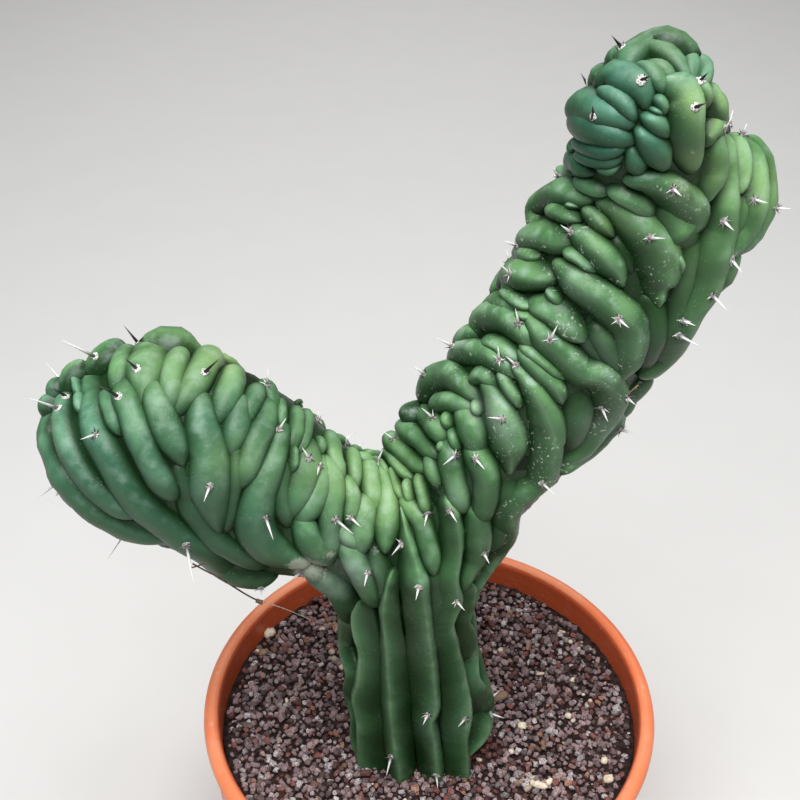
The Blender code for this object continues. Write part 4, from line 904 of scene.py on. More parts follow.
def seen_lobes(lobes, sinks):
    """Each of these lobes that shows from SIGHT, with its ridge sunk by so many mm: its centre
    line in mm and its widths."""
    lines = [np.array(line, float) for _, *line in lobes]
    lengths = [len(line) for line in lines]
    widths = [spread(lobe[0], length) for lobe, length in zip(lobes, lengths)]
    height = ridge_centre_height(np.concatenate(widths)) - np.repeat(sinks, lengths)
    return list(zip(parted(seat(np.concatenate(lines), height), lengths), widths))


def as_seen(points):
    """Where points in mm show from SIGHT: (across, up)."""
    eye = np.array(SIGHT)
    reach = -eye[1] / (points[:, 1] - eye[1])
    seen = eye + (points - eye) * reach[:, None]
    return seen[:, [0, 2]]


def in_zones(seen, zones):
    """How far each seen point lies in these soft round zones, from 0 to 1."""
    total = np.zeros(len(seen))
    for across, up, radius, strength in zones:
        away = np.hypot(seen[:, 0] - across, seen[:, 1] - up) / radius
        total += strength * np.exp(-away**2)
    return np.clip(total, 0, 1)


def lumps(points, wavelength, seed):
    """A smooth uneven field between about -1 and 1, from a few crossing waves."""
    draw = random.Random(seed)
    field = np.zeros(len(points))
    for _ in range(LUMP_WAVES):
        heading = np.array([draw.gauss(0, 1) for _ in range(3)])
        heading *= math.tau / wavelength / np.linalg.norm(heading)
        field += np.sin(points @ heading + draw.uniform(0, math.tau)) / (LUMP_WAVES / 2)
    return field


def add_sphere(bm, sides, rings, shape):
    """Adds a unit sphere to the bmesh with its points moved by shape, and returns the unit
    points."""
    one = bmesh.new()
    bmesh.ops.create_uvsphere(one, u_segments=sides, v_segments=rings, radius=1.0)
    mesh = bpy.data.meshes.new("sphere")
    one.to_mesh(mesh)
    one.free()
    unit = read_points(mesh)
    write_points(mesh, shape(unit))
    bm.from_mesh(mesh)
    bpy.data.meshes.remove(mesh)
    return unit


def read_points(mesh, what="co"):
    values = np.empty(len(mesh.vertices) * 3)
    mesh.vertices.foreach_get(what, values)
    return values.reshape(-1, 3)


def write_points(mesh, points):
    mesh.vertices.foreach_set("co", points.ravel())
    mesh.update()


def write_mark(mesh, name, values):
    """Stores one number a point, for the materials."""
    mark = mesh.attributes.new(name, "FLOAT", "POINT")
    mark.data.foreach_set("value", np.asarray(values, np.float32))


def new_object(bm, name, smooth=True):
    bmesh.ops.recalc_face_normals(bm, faces=bm.faces)
    mesh = bpy.data.meshes.new(name)
    bm.to_mesh(mesh)
    bm.free()
    obj = bpy.data.objects.new(name, mesh)
    bpy.context.scene.collection.objects.link(obj)
    if smooth:
        mesh.shade_smooth()
    return obj


def hand_over(obj, material, node=None):
    """Gives a finished piece its material and its place in the frame."""
    obj.data.materials.clear()
    obj.data.materials.append(material)
    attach(obj, "root")
    if node:
        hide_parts(node)


def along_line(places, run, values):
    """Values (n, 3) that are known at the lengths in run, at these places between them."""
    return np.stack([np.interp(places, run, values[:, k]) for k in range(3)], axis=1)


def end_swell(along, length, half):
    """How full a lobe is at these places along it, from 0 at its ends to 1 where it is whole."""
    reach = np.minimum(half * END_LENGTH, length / 2)
    to_end = np.minimum(along, length - along)
    rounding = np.clip(1 - to_end / reach, 0, 1)
    roundness = np.where(along < length / 2, HEAD_ROUNDNESS, TAIL_ROUNDNESS)
    return (1 - rounding**roundness) ** (1 / roundness)


def section(unit, power):
    """Where a unit sphere's points lie in a lobe's section, across and out."""
    flat = unit[:, :2]
    around = flat / np.maximum(np.linalg.norm(flat, axis=1, keepdims=True), TINY)
    around = np.sign(around) * np.abs(around) ** (2 / power)
    around[np.abs(unit[:, 2]) > POLE] = 0
    return around


def drawn_out(unit, line, normals, power, lean):
    """A unit sphere's points, drawn out along the line, in mm: rounded at both ends, and as
    deep into the core as it needs to be rooted. Its keel leans to the right by so many half
    widths."""
    fine, fine_widths, run = line
    length = run[-1]
    along = np.clip(0.5 * (1 - unit[:, 2]), 0, 1) * length
    centre = along_line(along, run, fine)
    ahead = along_line(np.minimum(along + HEADING_STEP, length), run, fine)
    behind = along_line(np.maximum(along - HEADING_STEP, 0), run, fine)
    heading = unit_rows(ahead - behind)
    outward = along_line(along, run, normals)
    outward -= (outward * heading).sum(axis=1, keepdims=True) * heading
    outward = unit_rows(outward)
    across = np.cross(heading, outward)
    half = np.interp(along, run, fine_widths) / 2
    swell = end_swell(along, length, half)
    around = section(unit, power)
    half_depth = np.maximum(half, LEAST_HALF_DEPTH)
    lean *= np.sign((across @ np.array(RIGHTWARD)).mean())
    aside = around[:, :1] + lean * np.clip(around[:, 1:], 0, 1)
    return (centre + across * (aside * (half * swell)[:, None])
            + outward * (around[:, 1:] * (half_depth * swell)[:, None]))


def mark_skin(mesh, tone, keel, bloom, ridge):
    """Stores what the skin's colours follow: crown is 0 by the core and 1 on a ridge, and ridge
    is 0 on a lobe's sides and 1 along its top."""
    points = read_points(mesh) / MM
    seen = as_seen(points)
    marks = {
        "upper": read_points(mesh, "normal") @ np.array(UPWARD),
        "tone": tone,
        "keel": keel,
        "ridge": ridge,
        "bloom": bloom,
        "thick_bloom_and_sheen": in_zones(seen, THICK_BLOOM_AND_SHEEN_ZONES),
        "crown": np.clip(core_distance(points)[0] / RIDGE_HEIGHT, 0, 1),
        "blue": in_zones(seen, BLUE_ZONES),
        "young": in_zones(seen, YOUNG_AND_LIT_ZONES),
        "old_and_shade": in_zones(seen, OLD_AND_SHADE_ZONES),
        "scurf": in_zones(seen, SCURF_ZONES) * (facing(points) > SCURF_FACING),
    }
    for name, values in marks.items():
        write_mark(mesh, name, values)


def swell_at_areoles(points, spots):
    """How far in mm the skin swells under each areole."""
    swell = np.zeros(len(points))
    for spot in spots:
        away = np.linalg.norm(points - spot, axis=1) / AREOLE_SWELL_RADIUS
        swell = np.maximum(swell, np.exp(-away**2))
    return swell * AREOLE_SWELL


def lobe_object(name, lobes, sides, step, look, draw, spots):
    """One piece: all these lobes, with the marks that their colours follow."""
    power, fullness, lean, keel, bloom = look
    bm = bmesh.new()
    tones, keels, ridges = [], [], []
    lines = [smooth_line(points, widths * fullness) for points, widths in lobes]
    normals = core_normal(np.concatenate([line[0] for line in lines]))
    normals = parted(normals, [len(line[0]) for line in lines])
    for line, outward, tilt in zip(lines, normals, np.broadcast_to(lean, len(lines))):
        rings = int(np.clip(line[2][-1] / step, *LOBE_RINGS))
        unit = add_sphere(bm, sides, rings,
                          lambda points: drawn_out(points, line, outward, power, tilt) * MM)
        tones.append(np.full(len(unit), draw.uniform(-1, 1)))
        around = unit[:, 1] / np.maximum(np.hypot(unit[:, 0], unit[:, 1]), TINY)
        keels.append(keel * np.clip(around, 0, 1) ** KEEL_SHARPNESS)
        ridges.append(np.clip(around, 0, 1))
    obj = new_object(bm, name)
    points = read_points(obj.data) / MM
    outward = read_points(obj.data, "normal")
    push = sum(height * lumps(points, wavelength, seed)
               for height, wavelength, seed in SKIN_LUMPS)
    points += outward * (push + swell_at_areoles(points, spots))[:, None]
    points[:, 2] = np.maximum(points[:, 2], FOOT_LEVEL / MM)
    write_points(obj.data, points * MM)
    blooms = np.full(len(points), bloom)
    mark_skin(obj.data, np.concatenate(tones), np.concatenate(keels), blooms,
              np.concatenate(ridges))
    return obj


def core_object():
    """What shows between the lobes, and the neck that goes down into the potting mix."""
    bm = bmesh.new()
    for (flatten, chain), swell in zip(CORE, CORE_SWELLS):
        for start, end in zip(chain, chain[1:]):
            for t in np.linspace(0, 1, CORE_STEPS):
                *centre, radius = np.array(start) + (np.array(end) - start) * t
                size = np.array([radius, radius / flatten, radius]) + swell
                add_sphere(bm, CORE_SIDES, CORE_SIDES // 2,
                           lambda unit: (centre + unit * size) * MM)
    obj = new_object(bm, "cactus_core")
    points = read_points(obj.data)
    points[:, 2] = np.maximum(points[:, 2], ROOT_LEVEL)
    write_points(obj.data, points)
    nothing = np.zeros(len(points))
    mark_skin(obj.data, nothing, nothing, nothing, nothing)
    return obj


def seen_areoles(skin):
    """(root, tip, outward, young) of each areole that shows from SIGHT, in metres."""
    eye = Vector(SIGHT) * MM
    places = []
    for spot, tip in AREOLES:
        aim = Vector((spot[0] * MM, 0.0, spot[1] * MM)) - eye
        root, outward, _, distance = skin.ray_cast(eye, aim.normalized())
        if root is None:
            root, outward, _, _ = skin.find_nearest(eye + aim.normalized() * aim.length)
            distance = (root - eye).length
        tip_ray = (Vector((tip[0] * MM, 0.0, tip[1] * MM)) - eye).normalized()
        end = eye + tip_ray * (distance - SPINE_RISE * math.dist(spot, tip) * MM)
        on_crest = spot[0] < CREST_LEFT_OF and spot[1] > CREST_ABOVE
        places.append((root, end, outward, spot[1] > YOUNG_ABOVE or on_crest))
    return places


def rear_areoles(skin, front):
    """The same areoles, turned over to the hidden flank."""
    places = []
    for root, end, _, young in front:
        turned = np.array([root[:], end[:]]) / MM
        middle = core_distance(turned[:1])[1][0]
        turned[:, 1] = 2 * middle[1] - turned[:, 1]
        if facing(turned[:1])[0] > REAR_FACING:
            continue
        back_root, back_end = (Vector(point) * MM for point in turned.tolist())
        spot, outward, _, _ = skin.find_nearest(back_root)
        places.append((spot, spot + (back_end - back_root), outward, young))
    return places


def add_cone(bm, root, tip, radius, marks, dark):
    """One tapered spine. Its marks say how far along it each point lies and how dark it is."""
    heading = (tip - root).normalized()
    start = root - heading * SPINE_ROOT * MM
    turn = Vector((0, 0, 1)).rotation_difference(heading).to_matrix().to_4x4()
    made = bmesh.ops.create_cone(
        bm, cap_ends=True, segments=SPINE_SIDES, radius1=radius * MM,
        radius2=radius * SPINE_TIP_SHARE * MM, depth=(tip - start).length,
        matrix=Matrix.Translation((start + tip) / 2) @ turn)
    for vert in made["verts"]:
        at_tip = (vert.co - tip).length < (vert.co - start).length
        marks["along"].append(float(at_tip))
        marks["dark"].append(dark)


def add_wool(bm, root, outward, radius, height, draw):
    """A tuft of felt: a low dome with a ragged surface."""
    made = bmesh.ops.create_icosphere(bm, subdivisions=2, radius=1.0)
    turn = Vector((0, 0, 1)).rotation_difference(outward).to_matrix()
    for vert in made["verts"]:
        ragged = vert.co * draw.uniform(*WOOL_RAGGEDNESS)
        ragged.z *= height
        vert.co = root + turn @ ragged * radius * MM


def add_radial_spines(bm, root, outward, young, marks, draw):
    """The short spines round one areole."""
    side = outward.orthogonal().normalized()
    turn = draw.uniform(0, math.tau)
    count = draw.randint(*RADIAL_COUNTS)
    for i in range(count):
        jitter = draw.uniform(-RADIAL_JITTER, RADIAL_JITTER)
        angle = turn + math.tau * (i + jitter) / count
        away = Matrix.Rotation(angle, 3, outward) @ side
        lean = (away + outward * draw.uniform(*RADIAL_LEANS)).normalized()
        if young:
            lean = (away * YOUNG_RADIAL_SPREAD + outward).normalized()
            foot = root + away * draw.uniform(*YOUNG_RADIAL_FEET) * MM
            reach = draw.uniform(*RADIAL_LENGTHS) * YOUNG_RADIAL_SHARE * MM
            dark = 1.0
        else:
            foot = root + away * RADIAL_FOOT * MM
            reach = draw.uniform(*RADIAL_LENGTHS) * MM
            dark = draw.choice(RADIAL_DARKS)
        add_cone(bm, foot, foot + lean * reach, RADIAL_RADIUS, marks, dark)


def make_areoles(places):
    draw = random.Random(AREOLE_SEED)
    spines, wool, young_wool = bmesh.new(), bmesh.new(), bmesh.new()
    marks = {"along": [], "dark": []}
    for root, end, outward, young in places:
        length = (end - root).length
        heading = (end - root).normalized()
        if heading.dot(outward) < LEAST_LEAN:
            heading = (heading + outward * SPINE_LIFT).normalized()
        if young:
            wool_radius = YOUNG_WOOL_RADIUS * draw.uniform(*YOUNG_WOOL_SIZES)
            add_wool(young_wool, root, outward, wool_radius, YOUNG_WOOL_HEIGHT, draw)
            dark = 1.0 if length < STOUT_DARK_LENGTH * MM else 0.0
            length = max(length, STOUT_LEAST_LENGTH * MM)
            add_cone(spines, root, root + heading * length, STOUT_RADIUS, marks, dark)
        else:
            wool_radius = WOOL_RADIUS * draw.uniform(*WOOL_SIZES)
            add_wool(wool, root, outward, wool_radius, WOOL_HEIGHT, draw)
            dark = draw.uniform(*LONG_SPINE_DARKS)
            add_cone(spines, root, root + heading * length, LONG_SPINE_RADIUS, marks, dark)
        add_radial_spines(spines, root, outward, young, marks, draw)
    spine_piece = new_object(spines, "spines")
    for name, values in marks.items():
        write_mark(spine_piece.data, name, values)
    hand_over(spine_piece, spine_material(), "cactus")
    for bm, name, colour in ((wool, "areole_felt", FELT_GREY),
                             (young_wool, "young_wool", WOOL_CREAM)):
        hand_over(new_object(bm, name), wool_material(name, colour), "cactus")


def make_cactus():
    front = seen_lobes(LOBES, np.zeros(len(LOBES)))
    flanks = seen_lobes([flank[1:] for flank in FLANKS], [flank[0] for flank in FLANKS])
    spots = seat(np.array([spot for spot, _ in AREOLES], float),
                 np.full(len(AREOLES), RIDGE_HEIGHT))
    under = out_of_sight(under_lobes() + tip_lobes() + nape_lobes(), UNDER_FACING)
    under += out_of_sight(side_lobes(), SIDE_FACING)
    front_make = (LOBE_SIDES, LOBE_RING_STEP)
    rear_make = (REAR_SIDES, REAR_RING_STEP)
    # Name, lobes, sides and ring step, look.
    plans = []
    done = 0
    for name, (lobes, *look) in GROUPS.items():
        plans.append((name, front[done:done + len(lobes)], front_make, look))
        done += len(lobes)
    plans.append(("flanks", flanks, front_make, FLANK_LOOK))
    plans.append(("rear_lobes", rear_lobes(front + flanks), rear_make, REAR_LOOK))
    plans.append(("under_ribs", under, rear_make, REAR_LOOK))
    draw = random.Random(AREOLE_SEED)
    pieces = [lobe_object(name, lobes, *make, look, draw, spots)
              for name, lobes, make, look in plans]
    pieces.append(core_object())
    skin = skin_material()
    everything = bmesh.new()
    for piece in pieces:
        hand_over(piece, skin, "cactus")
        everything.from_mesh(piece.data)
    tree = BVHTree.FromBMesh(everything)
    everything.free()
    places = seen_areoles(tree)
    places += rear_areoles(tree, places)
    make_areoles([place for place in places if place[0].z > AREOLE_FOOT_LEVEL])


def pot_inside(height):
    """The pot's inner radius at a height, in metres."""
    low, high = FLOOR, COLLAR_FOOT
    low_radius = BASE_RADIUS - WALL
    high_radius = COLLAR_RADIUS - COLLAR_STEP - WALL
    if height > COLLAR_FOOT:
        low, high = COLLAR_FOOT, POT_HEIGHT - LIP_RADIUS
        low_radius, high_radius = high_radius, RIM_RADIUS - 2 * LIP_RADIUS
    return low_radius + (high_radius - low_radius) * (height - low) / (high - low)


def pot_profile():
    """(radius, height) along the pot's outer and inner face, from the middle of its underside
    round to the middle of its inner floor."""
    step = COLLAR_RADIUS - COLLAR_STEP
    outer = [
        (0.0, 0.0),
        (HUB_RADIUS, 0.0),
        (HUB_RADIUS + EDGE, FOOT_HEIGHT),
        (BASE_RADIUS - FOOT_WIDTH - EDGE, FOOT_HEIGHT),
        (BASE_RADIUS - FOOT_WIDTH, 0.0),
        (BASE_RADIUS - EDGE, 0.0),
        (BASE_RADIUS - EDGE * 0.3, EDGE * 0.4),
        (BASE_RADIUS, EDGE * 1.5),
        (step - STEP_GAP, COLLAR_FOOT - EDGE * 0.3),
        (step + STEP_CORNER, COLLAR_FOOT),
        (COLLAR_RADIUS - EDGE, COLLAR_FOOT + EDGE * 0.2),
        (COLLAR_RADIUS - EDGE * 0.6, COLLAR_FOOT + EDGE * 0.6),
        (COLLAR_RADIUS - EDGE * 0.5, COLLAR_FOOT + EDGE * 1.4),
        (COLLAR_RADIUS, POT_HEIGHT - 2 * LIP_RADIUS - LIP_TUCK),
    ]
    turns = np.radians(np.linspace(*LIP_TURNS, LIP_POINTS))
    lip = [(RIM_RADIUS + LIP_RADIUS * (math.cos(turn) - 1),
            POT_HEIGHT + LIP_RADIUS * (math.sin(turn) - 1)) for turn in turns]
    inner = [
        (pot_inside(COLLAR_FOOT), COLLAR_FOOT),
        (pot_inside(FLOOR + EDGE), FLOOR + EDGE),
        (pot_inside(FLOOR) - EDGE, FLOOR),
        (0.0, FLOOR),
    ]
    return outer + lip + inner


def drain_cutters():
    """A collection of the pegs that cut the pot's drainage holes."""
    group = bpy.data.collections.new("drains")
    for i in range(DRAIN_COUNT):
        angle = math.tau * i / DRAIN_COUNT
        place = Matrix.Translation((DRAIN_CIRCLE * math.cos(angle),
                                    DRAIN_CIRCLE * math.sin(angle), 0.0))
        hole = bmesh.new()
        bmesh.ops.create_cone(hole, cap_ends=True, segments=DRAIN_SIDES, radius1=DRAIN_RADIUS,
                              radius2=DRAIN_RADIUS, depth=DRAIN_CUT, matrix=place)
        drain = new_object(hole, f"drain_{i}", smooth=False)
        bpy.context.scene.collection.objects.unlink(drain)
        group.objects.link(drain)
    return group


def make_pot():
    bm = bmesh.new()
    line = [bm.verts.new((radius, 0.0, height)) for radius, height in pot_profile()]
    edges = [bm.edges.new(pair) for pair in zip(line, line[1:])]
    bmesh.ops.spin(bm, geom=line + edges, axis=(0, 0, 1), cent=(0, 0, 0), steps=POT_SIDES,
                   angle=math.tau, use_merge=True)
    bmesh.ops.remove_doubles(bm, verts=bm.verts, dist=MERGE)
    pot = new_object(bm, "plastic_pot")
    group = drain_cutters()
    cut = pot.modifiers.new("drains", "BOOLEAN")
    cut.operation = "DIFFERENCE"
    cut.operand_type = "COLLECTION"
    cut.collection = group
    cut.solver = "EXACT"
    keep_modified(pot)
    for drain in list(group.objects):
        bpy.data.objects.remove(drain, do_unlink=True)
    bpy.data.collections.remove(group)
    pot.data.shade_smooth()
    pot.data.set_sharp_from_angle(angle=math.radians(SHARP_ANGLE))
    points = read_points(pot.data)
    wall = np.array([pot_inside(height) for height in points[:, 2]])
    inside = np.hypot(points[:, 0], points[:, 1]) < wall + INSIDE_TOLERANCE
    # Marks the inner wall, which gets painted shade.
    write_mark(pot.data, "inside", inside & (points[:, 2] > FLOOR - INSIDE_TOLERANCE))
    hand_over(pot, pot_material(), "pot")


def keep_modified(obj):
    """Makes the object's modified mesh its own."""
    graph = bpy.context.evaluated_depsgraph_get()
    mesh = bpy.data.meshes.new_from_object(obj.evaluated_get(graph))
    obj.modifiers.clear()
    obj.data = mesh


def scatter(name, places, sizes, tints, turns, roundness, roughness, seed, smooth=False):
    """One piece of many loose grains, each its own lumpy stone."""
    bm = bmesh.new()
    bmesh.ops.create_cube(bm, size=1.0)
    bmesh.ops.subdivide_edges(bm, edges=bm.edges, cuts=1, use_grid_fill=True)
    for vert in bm.verts:
        vert.co = vert.co.normalized() * roundness + vert.co * (1 - roundness)
    grains = new_object(bm, name, smooth)
    each = len(grains.data.vertices)
    copies = grains.modifiers.new("copies", "ARRAY")
    copies.count = len(places)
    copies.relative_offset_displace = (0, 0, 0)
    copies.use_merge_vertices = False
    keep_modified(grains)
    draw = np.random.default_rng(seed)
    unit = read_points(grains.data).reshape(len(places), each, 3)
    bumpy = unit * (1 + roughness * draw.uniform(-1, 1, (len(places), each, 1)))
    turned = np.einsum("nij,nkj->nki", turns, bumpy * sizes[:, None, :])
    write_points(grains.data, ((turned + places[:, None, :]) * MM).reshape(-1, 3))
    write_mark(grains.data, "tint", np.repeat(tints, each))
    # Painted shade on each grain's lower side, plus a random dimming of whole grains.
    rise = turned[:, :, 2] / sizes.mean(axis=1)[:, None]
    dim = GRAIN_DIMMING * draw.random((len(places), 1))
    write_mark(grains.data, "low", (np.clip(GRAIN_SHADE_RISE - rise, 0, 1) + dim).ravel())
    return grains


def any_turn(draw, tilt):
    """A random way to lie, tilted by up to this much."""
    return np.array(Euler((draw.uniform(-tilt, tilt), draw.uniform(-tilt, tilt),
                           draw.uniform(0, math.tau))).to_matrix())


def lay_grains(name, places, radii, draw):
    """One piece of lava grains on the bed, with none inside the plant."""
    places = np.array(places)
    height, wavelength, seed = BED_LUMPS
    places[:, 2] += height * lumps(places, wavelength, seed)
    sizes = np.array([[radius * draw.uniform(*stretch) for stretch in GRAIN_STRETCHES]
                      for radius in radii])
    turns = np.array([any_turn(draw, GRAIN_TILT) for _ in places])
    tints = np.array([draw.random() for _ in places])
    for across, back, reach in RED_PATCHES:
        near = np.hypot(places[:, 0] - across, places[:, 1] - back) < reach
        tints[near] = RED_TINT
    clear = core_distance(places)[0] > -GRAIN_OVERLAP
    grains = scatter(name, places[clear], sizes[clear], tints[clear], turns[clear],
                     GRAIN_ROUNDNESS, GRAIN_ROUGHNESS, GRAIN_SEED)
    hand_over(grains, grain_material(name))


def grain_places(draw):
    """Places and radii of the grains, in staggered rows over the whole bed."""
    places, radii = [], []
    rows = int(GRAVEL_EDGE / GRAIN_SPACING * GRAIN_ROWS_SHARE)
    for row in range(-rows, rows + 1):
        for column in range(-rows, rows + 1):
            jitter = draw.uniform(-GRAIN_JITTER, GRAIN_JITTER)
            x = (column + row % 2 / 2 + jitter) * GRAIN_SPACING
            jitter = draw.uniform(-GRAIN_JITTER, GRAIN_JITTER)
            y = (row + jitter) * GRAIN_SPACING * math.sqrt(3) / 2
            radius = draw.uniform(*GRAIN_RADII) * draw.choice(GRAIN_SCALES)
            if math.hypot(x, y) + radius < GRAVEL_EDGE:
                rise = draw.uniform(-GRAIN_RISE, GRAIN_RISE)
                places.append((x, y, GRAIN_LEVEL + rise))
                radii.append(radius)
    return places, radii


def crumb_places(draw):
    """Places and radii of the crumbs, anywhere on the bed."""
    places, radii = [], []
    for _ in range(CRUMB_COUNT):
        radius = draw.uniform(*CRUMB_RADII)
        away = (GRAVEL_EDGE - radius) * math.sqrt(draw.random())
        angle = draw.uniform(0, math.tau)
        rise = draw.uniform(-CRUMB_RISE, CRUMB_RISE)
        places.append((away * math.cos(angle), away * math.sin(angle), CRUMB_LEVEL + rise))
        radii.append(radius)
    return places, radii


def make_pebbles(draw):
    """The pale pebbles and husks that show in the photo, one by one."""
    table = np.array(PEBBLES)
    places = np.column_stack([table[:, :2], np.full(len(table), PEBBLE_LEVEL)])
    half_sizes = table[:, 2:4]
    sizes = np.column_stack([half_sizes, half_sizes.min(axis=1) * PEBBLE_HEIGHT_SHARE])
    turns = []
    for _ in table:
        turn = draw.uniform(-PEBBLE_TURN, PEBBLE_TURN)
        turns.append(np.array(Euler((*PEBBLE_TILT, turn)).to_matrix()))
    pebbles = scatter("pale_pebbles", places, sizes, table[:, 4], np.array(turns),
                      PEBBLE_ROUNDNESS, PEBBLE_ROUGHNESS, PEBBLE_SEED, smooth=True)
    hand_over(pebbles, pebble_material())


def make_gravel():
    draw = random.Random(GRAIN_SEED)
    lay_grains("lava_grains", *grain_places(draw), draw)
    lay_grains("lava_crumbs", *crumb_places(draw), draw)
    make_pebbles(draw)


def make_strands():
    """The dry bits that hang on the plant."""
    fibre = plain_material("fibre", FIBRE_DARK, FIBRE_BROWN, 2.0, 0.8)
    thread = plain_material("thread", THREAD_GREY, THREAD_PALE, 3.0, 0.6)
    straw = plain_material("straw", STRAW_BROWN, STRAW_YELLOW, 3.0, 0.6)
    finishes = {"dry_fibre": fibre, "fibre_twig": fibre, "fibre_knot": fibre,
                "pale_thread": thread, "dry_straw": straw}
    eye = np.array(SIGHT)
    for name, radius, spots in STRANDS:
        points = []
        for across, up, depth in spots:
            reach = (depth - eye[1]) / -eye[1]
            points.append(eye + (np.array([across, 0.0, up]) - eye) * reach)
        make_strand(name, points, radius, finishes[name])


class Recipe:
    """One finish and its nodes. Patterns lie in Object coordinates, with sizes in mm."""

    def __init__(self, name, roughness, specular=0.5):
        self.material = bpy.data.materials.new(name)
        self.material.use_nodes = True
        self.nodes = self.material.node_tree.nodes
        self.shader = self.nodes["Principled BSDF"]
        self.shader.inputs["Roughness"].default_value = roughness
        self.shader.inputs["Specular IOR Level"].default_value = specular
        self.place = self.nodes.new("ShaderNodeTexCoord").outputs["Object"]

    def feed(self, socket, value):
        if isinstance(value, bpy.types.NodeSocket):
            self.material.node_tree.links.new(value, socket)
        elif isinstance(value, tuple):
            socket.default_value = (*value, 1.0)
        else:
            socket.default_value = value

    def mark(self, name):
        """A number that write_mark stored on the points."""
        node = self.nodes.new("ShaderNodeAttribute")
        node.attribute_name = name
        return node.outputs["Fac"]

    def noise(self, size, detail=3.0, stretch=None):
        """Soft patches of about this size, around 0.5."""
        node = self.nodes.new("ShaderNodeTexNoise")
        node.inputs["Scale"].default_value = 1 / (size * MM)
        node.inputs["Detail"].default_value = detail
        self.feed(node.inputs["Vector"], self.stretched(stretch) if stretch else self.place)
        return node.outputs["Fac"]

    def stretched(self, factors):
        node = self.nodes.new("ShaderNodeMapping")
        node.inputs["Scale"].default_value = factors
        self.feed(node.inputs["Vector"], self.place)
        return node.outputs["Vector"]

    def spots(self, size, randomness=1.0):
        """Distance to the nearest of scattered spots, in spacings."""
        node = self.nodes.new("ShaderNodeTexVoronoi")
        node.inputs["Scale"].default_value = 1 / (size * MM)
        node.inputs["Randomness"].default_value = randomness
        self.feed(node.inputs["Vector"], self.place)
        return node.outputs["Distance"]

    def ramp(self, value, low, high, start=0.0, end=1.0):
        """Start below low and end above high, with a soft step between."""
        node = self.nodes.new("ShaderNodeMapRange")
        node.interpolation_type = "SMOOTHSTEP"
        for name, setting in (("Value", value), ("From Min", low), ("From Max", high),
                              ("To Min", start), ("To Max", end)):
            self.feed(node.inputs[name], setting)
        return node.outputs["Result"]

    def between(self, value, start, end):
        """Start where the value is 0, and end where it is 1."""
        return self.ramp(value, 0.0, 1.0, start, end)

    def combine(self, operation, first, second):
        node = self.nodes.new("ShaderNodeMath")
        node.operation = operation
        self.feed(node.inputs[0], first)
        self.feed(node.inputs[1], second)
        return node.outputs["Value"]

    def times(self, first, second):
        return self.combine("MULTIPLY", first, second)

    def mix(self, share, first, second):
        """The first colour, with this share of the second."""
        node = self.nodes.new("ShaderNodeMix")
        node.data_type = "RGBA"
        self.feed(node.inputs[0], share)
        self.feed(node.inputs[6], first)
        self.feed(node.inputs[7], second)
        return node.outputs[2]

    def bump(self, height, depth):
        """Relief of this depth in mm."""
        node = self.nodes.new("ShaderNodeBump")
        node.inputs["Strength"].default_value = 1.0
        node.inputs["Distance"].default_value = depth * MM
        self.feed(node.inputs["Height"], height)
        self.feed(self.shader.inputs["Normal"], node.outputs["Normal"])

    def done(self, colour, roughness=None):
        self.feed(self.shader.inputs["Base Color"], colour)
        if roughness:
            self.feed(self.shader.inputs["Roughness"], roughness)
        return self.material


def darker(colour, share):
    return tuple(share * part for part in colour)


def skin_greens(skin, cloudy, upper):
    """The skin's colour, with painted light and shade: a lit green where it faces up and a shaded
    one elsewhere, with a painted highlight where best lit; dull where old and in painted shade;
    blue in places; yellow green where young, only where it faces up, as a painted highlight; and
    a little lighter or darker from lobe to lobe where lit."""
    old_and_shade = skin.mark("old_and_shade")
    # Painted light and shade: the skin is lit where it faces up and shaded elsewhere, with a
    # painted highlight where best lit.
    lit = skin.times(upper, skin.between(cloudy, 0.65, 1.15))
    lit = skin.times(lit, skin.between(old_and_shade, 1.0, 0.3))
    colour = skin.mix(lit, SHADED_GREEN, LIT_GREEN)
    highlight = skin.times(cloudy, skin.ramp(lit, 0.3, 1.0, 0.0, 0.6))
    colour = skin.mix(highlight, colour, HIGHLIGHT_GREEN)
    # Dull old skin and painted shade, in zones; the painted light is weaker there too.
    colour = skin.mix(skin.times(old_and_shade, OLD_AND_SHADE_SHARE), colour, STEM_GREEN)
    blue = skin.times(skin.mark("blue"), BLUE_SHARE)
    colour = skin.mix(blue, colour, skin.mix(lit, SHADED_BLUE, LIT_BLUE))
    # Yellow green of young skin, only where it faces up: partly a painted highlight.
    young = skin.times(skin.mark("young"), skin.between(upper, 0.3, 0.9))
    colour = skin.mix(young, colour, YOUNG_AND_LIT_GREEN)
    # A random lighter tone from lobe to lobe, shown only where the painted light falls.
    tone = skin.times(skin.ramp(skin.mark("tone"), -1.0, 1.0), lit)
    return skin.mix(skin.times(tone, TONE_SHARE), colour, TONE_LIGHT)


def skin_bloom_and_sheen(skin, cloudy, upper, crown, bloom):
    """How thick the white bloom lies, with a painted sheen: in clouds on ridges, thicker where
    they face up as painted sheen, and thick in places.
    """
    bloom_and_sheen = skin.times(bloom, skin.ramp(crown, 0.6, 1.0))
    bloom_and_sheen = skin.times(bloom_and_sheen, skin.ramp(skin.noise(7, 6.0), 0.42, 0.72))
    bloom_and_sheen = skin.times(bloom_and_sheen, skin.ramp(upper, 0.2, 1.0, 0.02, 0.6))
    # Thick bloom in zones, partly a painted sheen.
    thick_bloom_and_sheen = skin.times(skin.mark("thick_bloom_and_sheen"), skin.between(cloudy, 0.18, 0.42))
    return skin.combine("MAXIMUM", bloom_and_sheen, skin.times(thick_bloom_and_sheen, crown))


